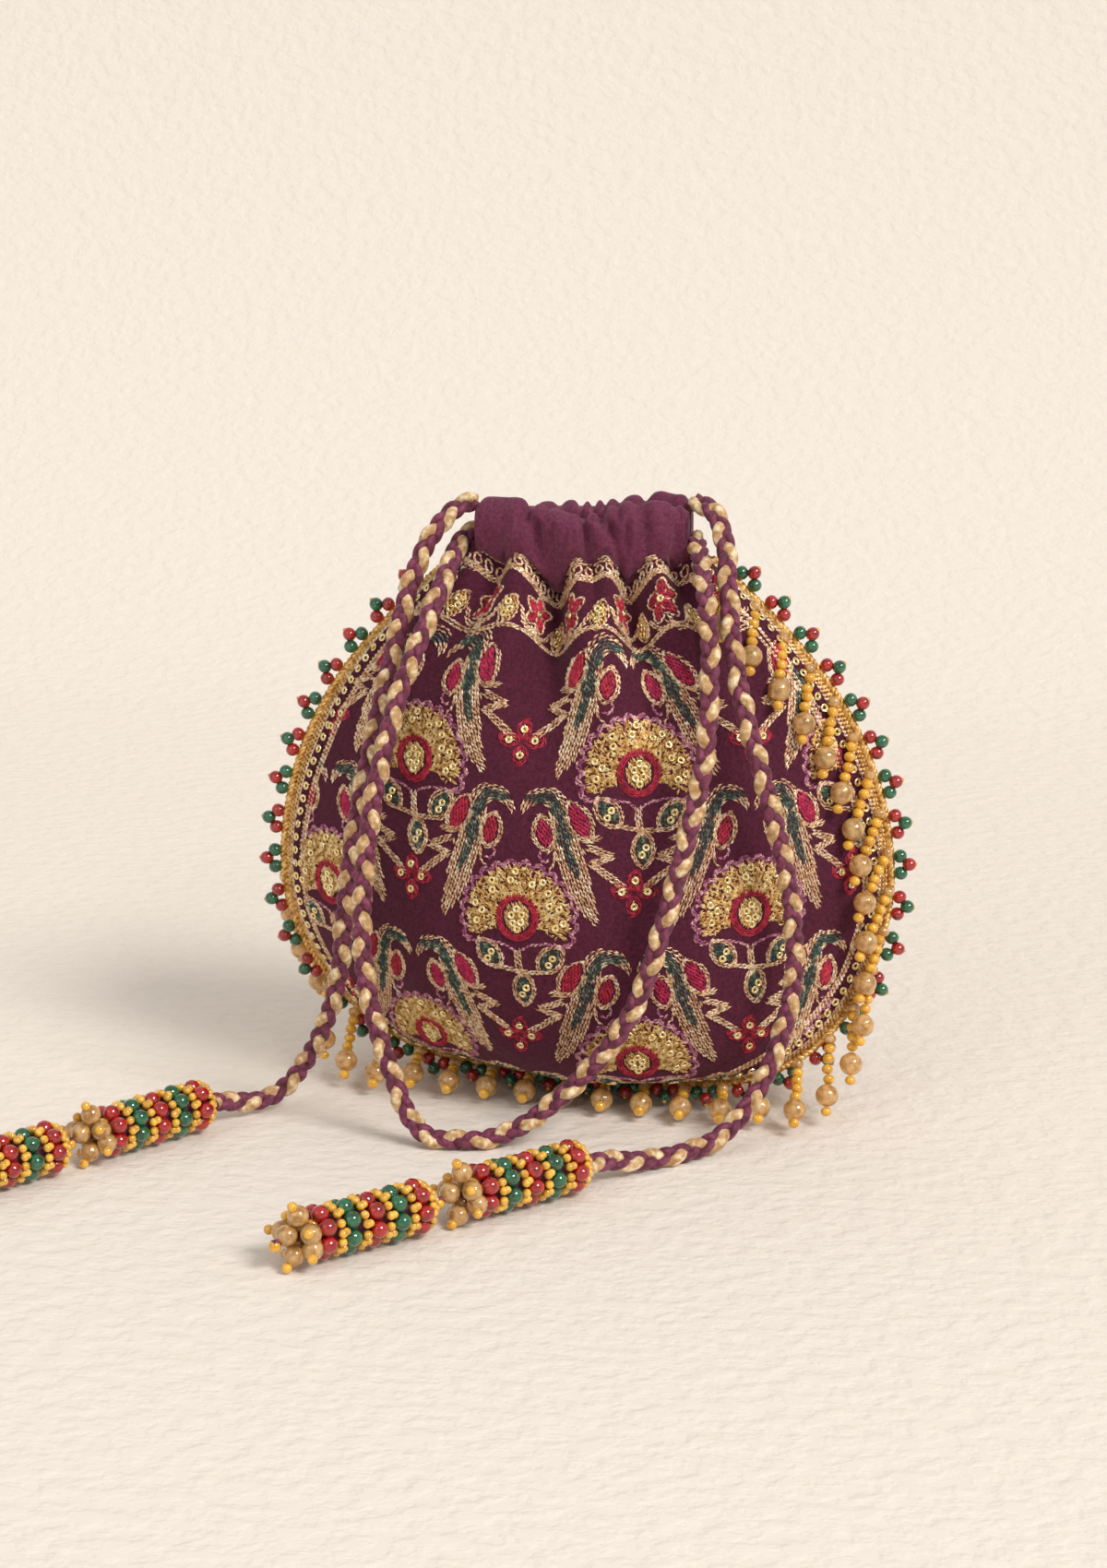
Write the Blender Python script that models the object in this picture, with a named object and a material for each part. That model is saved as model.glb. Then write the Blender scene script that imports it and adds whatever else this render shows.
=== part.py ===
"""A potli: a drawstring pouch of two embroidered cloth panels with a beaded edge.

Metres in the scene, millimetres in the numbers below (MM turns one into the other).
+Z is up, -Y is the front, and the origin is at the bottom centre of the pouch without its cords.
"""

import math

import bmesh
import bpy
import numpy as np
from mathutils import Vector

MM = 0.001

# Pouch outline: the right half of the edge seam, bottom centre to neck, as (x, z).
SEAM = [
    (0, 6.5), (38, 7), (60, 11.5), (79, 21.5), (92, 36), (100.5, 54), (104, 76),
    (101.5, 100), (94.5, 122), (83.5, 142), (68, 161), (52, 177), (39, 189),
]
SEAM_FORWARD = 8.0  # how far the bottom of the seam lies in front of the middle
SEAM_LEVEL_Z = 42.0  # above this height the seam is in the middle plane
FOOT_FLAT_Z = 0.6  # cloth lower than this lies flat on the ground
TWIST, TWIST_Z = 0.18, 70.0  # the foot is turned a little, its right end forward, below TWIST_Z
# Centre lines of the two panels as (share of the height, y, z), bottom to neck.
FRONT_LINE = [
    (0, -8, 6.5), (0.03, -26, 10.5), (0.09, -38, 22), (0.2, -46, 41), (0.34, -49, 67),
    (0.5, -46.5, 97), (0.67, -40, 128), (0.83, -31, 157), (0.94, -21.5, 177), (1, -14.5, 188),
]
BACK_LINE = [
    (0, -8, 6.5), (0.015, 0, 0.8), (0.05, 10, -3), (0.11, 24, -4), (0.17, 38, 4),
    (0.25, 45, 20), (0.37, 48.8, 48), (0.52, 48, 84), (0.68, 42.5, 120), (0.83, 32, 152),
    (0.94, 22, 175), (1, 14.5, 188),
]
NECK_Z = 188.0
CLOTH = 1.2  # embroidered cloth with its interlining
LINING = 0.8
BELLY_CROWN, NECK_CROWN = 1.1, 0.62  # how pointed a level's outline is at the seam

# Drawstring casing: two gathered tubes of cloth round the mouth.
CASING_Z = 197.0
CASING_END = (32.5, 5.4)  # centre of a casing's end: x, and y away from the middle
CASING_BULGE = 8.2
CASING_HALF = (4.7, 8.4)  # half thickness, half height
TUNNEL_R = 3.7

CORD_D = 6.6
CORD_SIDES = 2  # bevel resolution: eight sides
FACE_GAP = 0.35  # between two pieces that meet face to face

# Beaded edge.
BRAID_R = 1.6
STRANDS = 40
STRAND_SMALL_R, STRAND_SMALL_PITCH, STRAND_SMALL_COUNT = 2.0, 3.4, 5
STRAND_PEARL_R, STRAND_TIP_R = 3.9, 1.9
STRAND_ASIDE = 4.0  # a strand starts this far in front of the seam line, or behind it
STRAND_LEAN = (0.34, 0.55)  # slopes inwards and away from the seam, where it is upright
FRINGE_START, FRINGE_END = 0.03, 0.985  # shares of the seam's length, round from left to right
PICOT_REACH, PICOT_HALF_WIDTH = 8.8, 4.4
PICOT_END_Z = 2.6

# Beaded tassels, lying on the floor.
DRUM_R, DRUM_LENGTH, DRUM_ROWS = 8.6, 42.0, 9
PEARL_TUFT_R, PEARL_TUFT_LENGTH, TUFT_PEARLS = 9.4, 15.0, 7
TASSEL_Z = 9.5

PLUM = (0.075, 0.008, 0.045)
LINING_PLUM = (0.09, 0.02, 0.06)
GOLD_THREAD = (0.62, 0.40, 0.14)
PEARL = (0.80, 0.58, 0.34)
AMBER = (0.85, 0.50, 0.07)
BEAD_RED = (0.55, 0.03, 0.02)


def clear_scene():
    for obj in list(bpy.data.objects):
        bpy.data.objects.remove(obj)


def material(name, colour, roughness, metallic=0.0):
    mat = bpy.data.materials.new(name)
    mat.use_nodes = True
    shader = mat.node_tree.nodes["Principled BSDF"]
    shader.inputs["Base Color"].default_value = (*colour, 1.0)
    shader.inputs["Roughness"].default_value = roughness
    shader.inputs["Metallic"].default_value = metallic
    return mat


def smooth_through(points, count):
    """count points, evenly spaced along a Catmull-Rom curve through the given points."""
    p = np.array(points, float)
    p = np.vstack([2 * p[0] - p[1], p, 2 * p[-1] - p[-2]])
    t = np.linspace(0, 1, 24, endpoint=False)[:, None]
    dense = []
    for a, b, c, d in zip(p[:-3], p[1:-2], p[2:-1], p[3:]):
        dense.append(0.5 * (2 * b + (c - a) * t + (2 * a - 5 * b + 4 * c - d) * t**2
                            + (3 * b - a - 3 * c + d) * t**3))
    dense = np.vstack([*dense, p[-2]])
    along = np.concatenate([[0], np.cumsum(np.linalg.norm(np.diff(dense, axis=0), axis=1))])
    at = np.linspace(0, along[-1], count)
    return np.stack([np.interp(at, along, dense[:, k]) for k in range(p.shape[1])], axis=1)


def smooth_step(x):
    x = np.clip(x, 0, 1)
    return x * x * (3 - 2 * x)


def line_at(line, share):
    """(y, z) of a centre line at a share of the height."""
    dense = smooth_through([(100 * f, y, z) for f, y, z in line], 240)
    return np.array([np.interp(100 * share, dense[:, 0], dense[:, k]) for k in (1, 2)])


def twisted(points):
    """The points with the turn of the foot."""
    points = np.array(points, float)
    fade = 1 - smooth_step(points[..., 2] / TWIST_Z)
    points[..., 1] -= TWIST * points[..., 0] * fade
    return points


def seam_curve(count):
    """Points (x, y, z) of the right half of the untwisted seam, bottom centre to neck."""
    xz = smooth_through(SEAM, count)
    forward = -SEAM_FORWARD * (1 - smooth_step(xz[:, 1] / SEAM_LEVEL_Z))
    return np.stack([xz[:, 0], forward, xz[:, 1]], axis=1)


def inset_seam(count, inset, aside):
    """The right half of the seam, moved inwards in its own plane and aside in Y."""
    seam = seam_curve(count)
    along = np.gradient(seam[:, [0, 2]], axis=0)
    along /= np.linalg.norm(along, axis=1)[:, None]
    seam[:, 0] -= inset * along[:, 1]
    seam[:, 2] += inset * along[:, 0]
    seam[:, 0] = np.maximum(seam[:, 0], 0)
    seam[:, 1] += aside
    return seam


def panel_grid(line, rows, columns, inset, aside, skin=0.0, first=0.0):
    """Rows of points of one side of the pouch, bottom to neck, each from the left seam to the right.
    skin moves the panel's centre line inwards, towards the middle plane and off the floor."""
    edge = inset_seam(rows, inset, aside)
    bottom = edge[0, 2]
    side = np.sign(line[-1][1])
    grid = []
    for x, y, z in edge:
        share = (z - bottom) / (edge[-1, 2] - bottom)
        if share < first:
            continue
        my, mz = line_at(line, share)
        start = 1 - smooth_step(share / 0.05)
        my, mz = my - side * skin, max(mz, 0) + skin * smooth_step((60 - mz) / 60)
        my, mz = my + start * (y - my), mz + start * (z - mz)
        crown = BELLY_CROWN + (NECK_CROWN - BELLY_CROWN) * smooth_step((share - 0.6) / 0.4)
        q = np.linspace(-1, 1, columns)
        q = np.sign(q) * (1 - (1 - np.abs(q)) ** 1.25)
        lift = (1 - q * q) ** crown
        row = np.stack([x * q, y + (my - y) * lift, z + (mz - z) * lift], axis=1)
        grid.append(row)
    return twisted(grid)


def inward_normals(grid, side):
    """Unit normals of a grid that point into the pouch. side is -1 for the front, 1 for the back."""
    across, up = np.gradient(grid, axis=1), np.gradient(grid, axis=0)
    normal = np.cross(across, up) * -side
    normal /= np.maximum(np.linalg.norm(normal, axis=2, keepdims=True), 1e-9)
    return -normal


def add_object(name, bm, mat, smooth=True):
    bmesh.ops.recalc_face_normals(bm, faces=bm.faces)
    mesh = bpy.data.meshes.new(name)
    bm.to_mesh(mesh)
    bm.free()
    mesh.transform([[MM if i == j and i < 3 else float(i == j) for j in range(4)] for i in range(4)])
    obj = bpy.data.objects.new(name, mesh)
    bpy.context.scene.collection.objects.link(obj)
    mesh.materials.append(mat)
    if smooth:
        mesh.shade_smooth()
        mesh.set_sharp_from_angle(angle=math.radians(40))
    return obj


def bridge_rows(bm, rows, closed):
    """Quads between successive rows of vertices."""
    count = len(rows[0])
    for low, high in zip(rows[:-1], rows[1:]):
        for i in range(count if closed else count - 1):
            j = (i + 1) % count
            bm.faces.new((low[i], low[j], high[j], high[i]))


def sheet_solid(name, grid, thickness, side, mat):
    """A thick cloth panel: the grid, its copy offset inwards, and the rim between them."""
    inner = grid + thickness * inward_normals(grid, side)
    bm = bmesh.new()
    layers = [[[bm.verts.new(p) for p in row] for row in layer] for layer in (grid, inner)]
    for layer in layers:
        bridge_rows(bm, layer, closed=False)
    rims = []
    for layer in layers:
        rims.append([*layer[0], *[r[-1] for r in layer[1:]], *layer[-1][-2::-1],
                     *[r[0] for r in layer[-2:0:-1]]])
    bridge_rows(bm, rims, closed=True)
    return add_object(name, bm, mat)


def make_panels(cloth):
    front = panel_grid(FRONT_LINE, 17, 21, inset=2.0, aside=-1.7, first=0.004)
    back = panel_grid(BACK_LINE, 19, 21, inset=2.0, aside=1.7, first=0.004)
    back[:, :, 2] = np.where(back[:, :, 2] < FOOT_FLAT_Z, 0, back[:, :, 2])
    sheet_solid("front_panel", front, CLOTH, -1, cloth)
    sheet_solid("back_panel", back, CLOTH, 1, cloth)


def make_lining(mat):
    """The inner pouch: closed at the bottom, open at the neck."""
    skin = CLOTH + 1.9
    rows, columns = 15, 15
    front = panel_grid(FRONT_LINE, rows, columns, inset=7.0, aside=0, skin=skin)
    back = panel_grid(BACK_LINE, rows, columns, inset=7.0, aside=0, skin=skin)
    bm = bmesh.new()
    layers = []
    for thickness in (0, LINING):
        f = front + thickness * inward_normals(front, -1)
        b = back + thickness * inward_normals(back, 1)
        middle = np.array([[0.5 * (f[0, 7, k] + b[0, 7, k]) for k in range(3)]])
        pole = bm.verts.new(middle[0] + [0, 0, thickness])
        rings = [[bm.verts.new(p) for p in [*fr, *br[-2:0:-1]]] for fr, br in zip(f[1:], b[1:])]
        bridge_rows(bm, rings, closed=True)
        for i in range(len(rings[0])):
            bm.faces.new((pole, rings[0][i], rings[0][(i + 1) % len(rings[0])]))
        layers.append(rings)
    bridge_rows(bm, [layers[0][-1], layers[1][-1]], closed=True)
    return add_object("lining", bm, mat)


def casing_path(side, count=13, beyond=0.0):
    """Centre points of one casing, left to right. beyond lengthens it past both ends."""
    end_x, end_y = CASING_END
    x = np.linspace(-end_x - beyond, end_x + beyond, count)
    y = side * (end_y + CASING_BULGE * (1 - (x / end_x) ** 2))
    return np.stack([x, y, np.full(count, CASING_Z)], axis=1)


def ring_points(centre, along, radii, sides):
    """An oval of points round a horizontal path: radii are its half thickness and half height."""
    outward = np.array([along[1], -along[0], 0]) / np.linalg.norm(along[:2])
    angles = np.linspace(0, 2 * math.pi, sides, endpoint=False)
    return [centre + outward * radii[0] * math.cos(a) + np.array([0, 0, radii[1] * math.sin(a)])
            for a in angles]


def make_casing(name, side, cloth):
    """A cloth tube with a tunnel through it for the drawstring."""
    path = casing_path(side)
    along = np.gradient(path, axis=0)
    bm = bmesh.new()
    walls = []
    for radii in (CASING_HALF, (TUNNEL_R, TUNNEL_R)):
        rings = [[bm.verts.new(p) for p in ring_points(c, d, radii, 10)]
                 for c, d in zip(path, along)]
        bridge_rows(bm, rings, closed=True)
        walls.append(rings)
    for end in (0, -1):
        bridge_rows(bm, [walls[0][end], walls[1][end]], closed=True)
    return add_object(name, bm, cloth)


def make_cord(name, points, mat, spacing=16.0):
    """A round cord along a smooth curve through the given points."""
    rough = smooth_through(points, 200)
    length = np.linalg.norm(np.diff(rough, axis=0), axis=1).sum()
    line = smooth_through(points, max(4, round(length / spacing)))
    curve = bpy.data.curves.new(name, "CURVE")
    curve.dimensions = "3D"
    curve.bevel_depth = CORD_D / 2 * MM
    curve.bevel_resolution = CORD_SIDES
    curve.use_fill_caps = True
    spline = curve.splines.new("POLY")
    spline.points.add(len(line) - 1)
    for point, place in zip(spline.points, line):
        point.co = (*(place * MM), 1)
    curve.materials.append(mat)
    obj = bpy.data.objects.new(name, curve)
    bpy.context.scene.collection.objects.link(obj)
    return obj


# Routes of the free cords, in millimetres.
TAIL_LEFT_ROUTE = [
    (-36, -2.5, 204), (-44, -7, 200), (-51, -13, 190), (-55.5, -19, 177), (-58.5, -25, 163),
    (-61, -31, 149), (-63.5, -36.5, 136), (-66, -41, 122), (-69, -42, 107), (-71.5, -42.5, 92),
    (-73.5, -43, 77), (-75, -43, 62), (-77, -42.5, 47), (-81.5, -41, 33), (-87.5, -39.5, 20.5),
    (-94.5, -39.5, 10.5), (-102, -42, 5), (-109.5, -49, 6), (-117, -59, 9),
]
LOOP_ROUTE = [
    (-36, 2.5, 194), (-41, -5, 190), (-43, -16, 183), (-45.5, -27, 174), (-49.5, -36, 162),
    (-54, -43, 149), (-57.5, -48.5, 134), (-61, -52, 118), (-63.5, -54, 101), (-65, -55.5, 85),
    (-65.5, -57, 69), (-64, -58.5, 53), (-60, -60.5, 37), (-54.5, -63, 22), (-49, -65.5, 10),
    (-42, -67.5, 3.8), (-33, -68, 3.3), (-23.5, -66, 3.4), (-13.5, -63, 6.5), (-3, -60.5, 14),
    (9, -58.5, 25.5), (20, -57, 40), (27.5, -56, 56), (32.5, -55, 73), (37, -54, 90),
    (41, -52.5, 107), (44.5, -50, 124), (46, -47, 140), (46, -42.5, 155), (45, -36, 169),
    (42.5, -27, 181), (40, -16, 189), (38, -7, 192), (36, -2.5, 193),
]
TAIL_RIGHT_ROUTE = [
    (36, 2.5, 204), (43, -4, 202), (48, -14, 193), (50, -24, 180), (52, -32, 166),
    (55, -37, 151), (59, -40, 136), (64, -41.5, 120), (68.5, -41, 103), (72, -39.5, 87),
    (74, -38.5, 71), (74.5, -39, 55), (72, -42, 40), (67, -48, 25), (60, -55, 13),
    (51, -62.5, 5.5), (41, -70, 3.4), (30, -79.5, 4), (21, -89, 7), (14, -97.5, 9),
]
TASSEL_LEFT_AIM = (-0.632, -0.775)
TASSEL_RIGHT_AIM = (-0.724, -0.690)


def make_drawstring(mat):
    """The string in five lengths: one in each casing, the loop, and two tails with tassels."""
    make_cord("drawstring_in_front_casing", casing_path(-1, 7, beyond=-0.4), mat, 12)
    make_cord("drawstring_in_back_casing", casing_path(1, 7, beyond=-0.4), mat, 12)
    make_cord("drawstring_tail_left", TAIL_LEFT_ROUTE, mat)
    make_cord("drawstring_loop", LOOP_ROUTE, mat)
    make_cord("drawstring_tail_right", TAIL_RIGHT_ROUTE, mat)


def lathe(name, start, aim, profile, sides, mat, lobes=0, lobe_depth=0.0):
    """A solid turned about the line from start along aim. The profile is (distance, radius) and
    its ends close to points; lobes make it fluted."""
    aim = np.array(aim, float) / np.linalg.norm(aim)
    across = np.cross(aim, (0, 0, 1) if abs(aim[2]) < 0.9 else (0, 1, 0))
    across /= np.linalg.norm(across)
    third = np.cross(aim, across)
    start = np.array(start, float)
    bm = bmesh.new()
    rings = []
    for distance, radius in profile:
        ring = []
        for i in range(sides):
            a = 2 * math.pi * (i + 0.5) / sides
            r = radius * (1 + lobe_depth * math.cos(lobes * a))
            ring.append(bm.verts.new(start + aim * distance
                                     + (across * math.cos(a) + third * math.sin(a)) * r))
        rings.append(ring)
    bridge_rows(bm, rings, closed=True)
    bm.faces.new(rings[0])
    bm.faces.new(rings[-1])
    return add_object(name, bm, mat)


def drum_profile():
    """A drum of bead rows, capped with a ring of seed beads at its upper end."""
    pitch = (DRUM_LENGTH - 4) / DRUM_ROWS
    rows = [(0, 4.2), (2, 7.0)]
    for i in range(DRUM_ROWS):
        radius = DRUM_R if i % 2 == 0 else DRUM_R - 1.1
        rows.append((3 + pitch * (i + 0.5), radius))
    return [*rows, (DRUM_LENGTH, 5.0)]


def tuft_profile():
    r, length = PEARL_TUFT_R, PEARL_TUFT_LENGTH
    return [(0, 3.4), (0.25 * length, 0.75 * r), (0.6 * length, 0.97 * r),
            (0.85 * length, 0.8 * r), (length, 0.35 * r)]


def make_tassel(side, start, aim, bead_mat, pearl_mat):
    """Two beaded drums, each ending in a tuft of pearls, on the end of a tail."""
    aim = np.array([*aim, 0.0])
    at = np.array(start, float) + aim * 1.2
    at[2] = TASSEL_Z
    pieces = [("upper_drum", DRUM_LENGTH), ("upper_pearls", PEARL_TUFT_LENGTH),
              ("lower_drum", DRUM_LENGTH), ("lower_pearls", PEARL_TUFT_LENGTH)]
    for piece, length in pieces:
        name = f"tassel_{side}_{piece}"
        if piece.endswith("drum"):
            lathe(name, at, aim, drum_profile(), 12, bead_mat)
        else:
            lathe(name, at, aim, tuft_profile(), 2 * TUFT_PEARLS, pearl_mat, TUFT_PEARLS, 0.1)
        at = at + aim * (length + FACE_GAP)


def full_seam(count):
    """The whole seam from the left end of the neck, under the pouch, to the right end."""
    right = seam_curve(200)
    left = right[:0:-1] * [-1, 1, 1]
    return smooth_through(twisted(np.vstack([left, right])[::6]), count)


def seam_at(shares):
    """Points on the seam at shares of its length, and the way its picots point: outwards, and
    forwards where the floor is in the way."""
    seam = full_seam(400)
    along = np.gradient(seam, axis=0)
    outward = np.stack([along[:, 2], np.zeros(len(seam)), -along[:, 0]], axis=1)
    outward /= np.linalg.norm(outward, axis=1)[:, None]
    lowest = (PICOT_END_Z - seam[:, 2]) / PICOT_REACH
    outward[:, 2] = np.maximum(outward[:, 2], lowest)
    spare = 1 - outward[:, 0] ** 2 - outward[:, 2] ** 2
    outward[:, 1] = -np.sqrt(np.maximum(spare, 0))
    at = np.linspace(0, 1, len(seam))
    pick = [np.stack([np.interp(shares, at, v[:, k]) for k in range(3)], axis=1)
            for v in (seam, outward)]
    return pick[0], pick[1]


def strand_shares():
    return np.linspace(FRINGE_START, FRINGE_END, STRANDS)


def make_beaded_edge(mat):
    """The gold braid round the seam, with a picot of three beads between each two strands."""
    shares = strand_shares()
    gap = shares[1] - shares[0]
    half = PICOT_HALF_WIDTH / (gap_length() / gap)
    rings_at = [0.012]
    for share in shares[:-1] + gap / 2:
        rings_at += [share - half, share - half / 3, share + half / 3, share + half]
    rings_at.append(0.998)
    points, outward = seam_at(np.array(rings_at))
    bm = bmesh.new()
    rings = []
    for i, (centre, out) in enumerate(zip(points, outward)):
        reach = PICOT_REACH if i % 4 in (2, 3) and 0 < i < len(points) - 1 else BRAID_R
        aside = np.array([0.0, 1.0, 0.0])
        ring = [centre + out * reach + aside * BRAID_R * 0.8, centre + aside * BRAID_R,
                centre - out * BRAID_R, centre - aside * BRAID_R,
                centre + out * reach - aside * BRAID_R * 0.8]
        rings.append([bm.verts.new(p) for p in ring])
    bridge_rows(bm, rings, closed=True)
    bm.faces.new(rings[0])
    bm.faces.new(rings[-1])
    return add_object("edge_braid_with_picots", bm, mat, smooth=False)


def gap_length():
    """Distance along the seam between two strands."""
    seam = full_seam(400)
    length = np.linalg.norm(np.diff(seam, axis=0), axis=1).sum()
    return length * (FRINGE_END - FRINGE_START) / (STRANDS - 1)


def strand_length():
    return STRAND_SMALL_PITCH * STRAND_SMALL_COUNT + 2 * STRAND_PEARL_R + 2 * STRAND_TIP_R


def cloth_depth(line, x, z):
    """How far from the middle plane a panel's surface is at (x, z)."""
    seam = seam_curve(120)
    share = np.clip((z - SEAM[0][1]) / (NECK_Z - SEAM[0][1]), 0, 1)
    half = max(np.interp(z, seam[:, 2], seam[:, 0]), 1)
    my = line_at(line, share)[0]
    crown = BELLY_CROWN + (NECK_CROWN - BELLY_CROWN) * smooth_step((share - 0.6) / 0.4)
    q = min(abs(x) / half, 1.0)
    return abs(my) * (1 - q * q) ** crown


def strand_aim(anchor, side):
    """Which way a strand hangs from its anchor: over the cloth high up, straight down lower, and
    forward along the floor under the belly. side is -1 for one that starts before the seam."""
    x, y, z = anchor
    length = strand_length()
    upright = smooth_step((z - 8) / 40) * smooth_step((175 - z) / 90)
    inward = STRAND_LEAN[0] * upright * smooth_step((z - 34) / 40) * (1 if side < 0 else -0.3)
    end_x = x - np.sign(x) * inward * length
    depth = cloth_depth(FRONT_LINE if side < 0 else BACK_LINE, end_x, z - 0.8 * length)
    depth *= smooth_step((z - 50) / 30)
    away = max(depth + STRAND_PEARL_R + 2.6 - abs(y), STRAND_LEAN[1] * upright * length)
    level = math.hypot(end_x - x, away)
    drop = min(math.sqrt(length**2 - level**2), z - STRAND_PEARL_R - 0.2)
    away = math.sqrt(max(length**2 - drop**2 - (end_x - x) ** 2, 0))
    return np.array([end_x - x, side * away, -drop])


def strand_profile():
    rows = [(0, 1.0)]
    for i in range(STRAND_SMALL_COUNT):
        rows.append((STRAND_SMALL_PITCH * (i + 0.5), STRAND_SMALL_R))
        rows.append((STRAND_SMALL_PITCH * (i + 1), 1.2))
    pearl = rows[-1][0] + STRAND_PEARL_R
    rows += [(pearl - 0.55 * STRAND_PEARL_R, 0.83 * STRAND_PEARL_R),
             (pearl + 0.55 * STRAND_PEARL_R, 0.83 * STRAND_PEARL_R),
             (pearl + STRAND_PEARL_R, 1.2)]
    tip = rows[-1][0] + STRAND_TIP_R
    return [*rows, (tip, STRAND_TIP_R), (tip + STRAND_TIP_R, 0.7)]


def make_strands(mat):
    points, _ = seam_at(strand_shares())
    for i, point in enumerate(points):
        side = 1 if point[0] < 0 and point[2] > 40 else -1
        anchor = point + np.array([0, side * STRAND_ASIDE, 0])
        lathe(f"fringe_strand_{i + 1:02d}", anchor, strand_aim(anchor, side),
              strand_profile(), 5, mat)


def main():
    clear_scene()
    cloth = material("plum_cloth", PLUM, 0.8)
    braid = material("drawstring_braid", PLUM, 0.7)
    gold = material("gold_thread", GOLD_THREAD, 0.4, 0.6)
    pearl = material("pearl_bead", PEARL, 0.25)
    amber = material("amber_bead", AMBER, 0.3)
    red = material("red_bead", BEAD_RED, 0.25)
    make_panels(cloth)
    make_lining(material("lining_cloth", LINING_PLUM, 0.85))
    make_casing("front_casing", -1, cloth)
    make_casing("back_casing", 1, cloth)
    make_drawstring(braid)
    make_tassel("left", TAIL_LEFT_ROUTE[-1], TASSEL_LEFT_AIM, red, pearl)
    make_tassel("right", TAIL_RIGHT_ROUTE[-1], TASSEL_RIGHT_AIM, red, pearl)
    make_beaded_edge(gold)
    make_strands(amber)


main()
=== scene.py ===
"""The visual model of the potli bag, its floor, its lights and its camera.

Numbers are millimetres in the row frame unless a comment says otherwise; MM turns them into metres.
"""

import math

import bpy
import numpy as np
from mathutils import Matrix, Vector
from mathutils.bvhtree import BVHTree

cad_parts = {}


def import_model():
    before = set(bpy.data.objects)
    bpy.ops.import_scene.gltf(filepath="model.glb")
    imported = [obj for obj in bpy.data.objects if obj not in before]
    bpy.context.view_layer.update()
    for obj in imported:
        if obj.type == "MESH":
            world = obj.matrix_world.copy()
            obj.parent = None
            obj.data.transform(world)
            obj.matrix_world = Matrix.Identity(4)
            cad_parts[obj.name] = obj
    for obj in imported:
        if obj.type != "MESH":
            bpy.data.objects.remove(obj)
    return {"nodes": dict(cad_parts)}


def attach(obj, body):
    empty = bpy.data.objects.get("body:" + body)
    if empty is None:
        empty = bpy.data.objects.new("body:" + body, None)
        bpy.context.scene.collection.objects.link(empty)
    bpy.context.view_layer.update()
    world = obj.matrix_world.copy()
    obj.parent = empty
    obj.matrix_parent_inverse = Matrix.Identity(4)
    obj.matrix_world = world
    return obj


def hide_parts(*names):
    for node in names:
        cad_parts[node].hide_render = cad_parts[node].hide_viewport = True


MM = 0.001
RNG = np.random.default_rng(7)

# The pouch's shape, as in the CAD part.
SEAM = [
    (0, 6.5), (38, 7), (60, 11.5), (79, 21.5), (92, 36), (100.5, 54), (104, 76),
    (101.5, 100), (94.5, 122), (83.5, 142), (68, 161), (52, 177), (39, 189),
]
SEAM_FORWARD, SEAM_LEVEL_Z = 8.0, 42.0
TWIST, TWIST_Z = 0.18, 70.0
FRONT_LINE = [
    (0, -8, 6.5), (0.03, -26, 10.5), (0.09, -38, 22), (0.2, -46, 41), (0.34, -49, 67),
    (0.5, -46.5, 97), (0.67, -40, 128), (0.83, -31, 157), (0.94, -21.5, 177), (1, -14.5, 188),
]
BACK_LINE = [
    (0, -8, 6.5), (0.015, 0, 0.8), (0.05, 10, -3), (0.11, 24, -4), (0.17, 38, 4),
    (0.25, 45, 20), (0.37, 48.8, 48), (0.52, 48, 84), (0.68, 42.5, 120), (0.83, 32, 152),
    (0.94, 22, 175), (1, 14.5, 188),
]
BELLY_CROWN, NECK_CROWN = 1.1, 0.62

# Gathers of the cloth: valleys as lists of (z, x, depth, half width), neck downwards.
FRONT_VALLEYS = [
    [(192, -9, 11, 4.2), (178, -8, 13, 5.2), (160, -8, 11, 6.5), (142, -9, 6, 8.5), (118, -11, 0, 11)],
    [(192, 16, 7, 3.4), (176, 19, 9, 4.2), (158, 24, 8, 6), (138, 33, 4, 8.5), (112, 42, 0, 12)],
    [(192, -25, 4, 3), (178, -31, 4, 4), (160, -42, 2.5, 6), (140, -52, 0, 9)],
    [(192, 29, 4, 3), (178, 37, 3.5, 4), (160, 48, 2.5, 6), (140, 58, 0, 9)],
    [(192, 4, 3, 2.5), (180, 5, 2.5, 3.5), (165, 6, 1, 5), (150, 7, 0, 7)],
]
BACK_VALLEYS = [
    [(192, 2, 9, 4.5), (176, 3, 9, 5.5), (156, 4, 6, 7.5), (128, 6, 0, 11)],
    [(192, -19, 6, 4), (176, -23, 5.5, 5), (156, -31, 3.5, 7), (128, -42, 0, 11)],
    [(192, 22, 6, 4), (176, 27, 5, 5), (156, 36, 3, 7), (132, 46, 0, 11)],
    [(192, -30, 3, 3), (170, -44, 2, 5), (150, -56, 0, 8)],
    [(192, 32, 3, 3), (170, 45, 2, 5), (150, 57, 0, 8)],
]
RIPPLE = 0.5  # height of the slight unevenness of the standing cloth

NECK_Z = 188.0
CASING_END = (32.5, 5.4)
CASING_BULGE = 8.2
HEADER_COLUMNS, HEADER_SIDES = 170, 44
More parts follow.
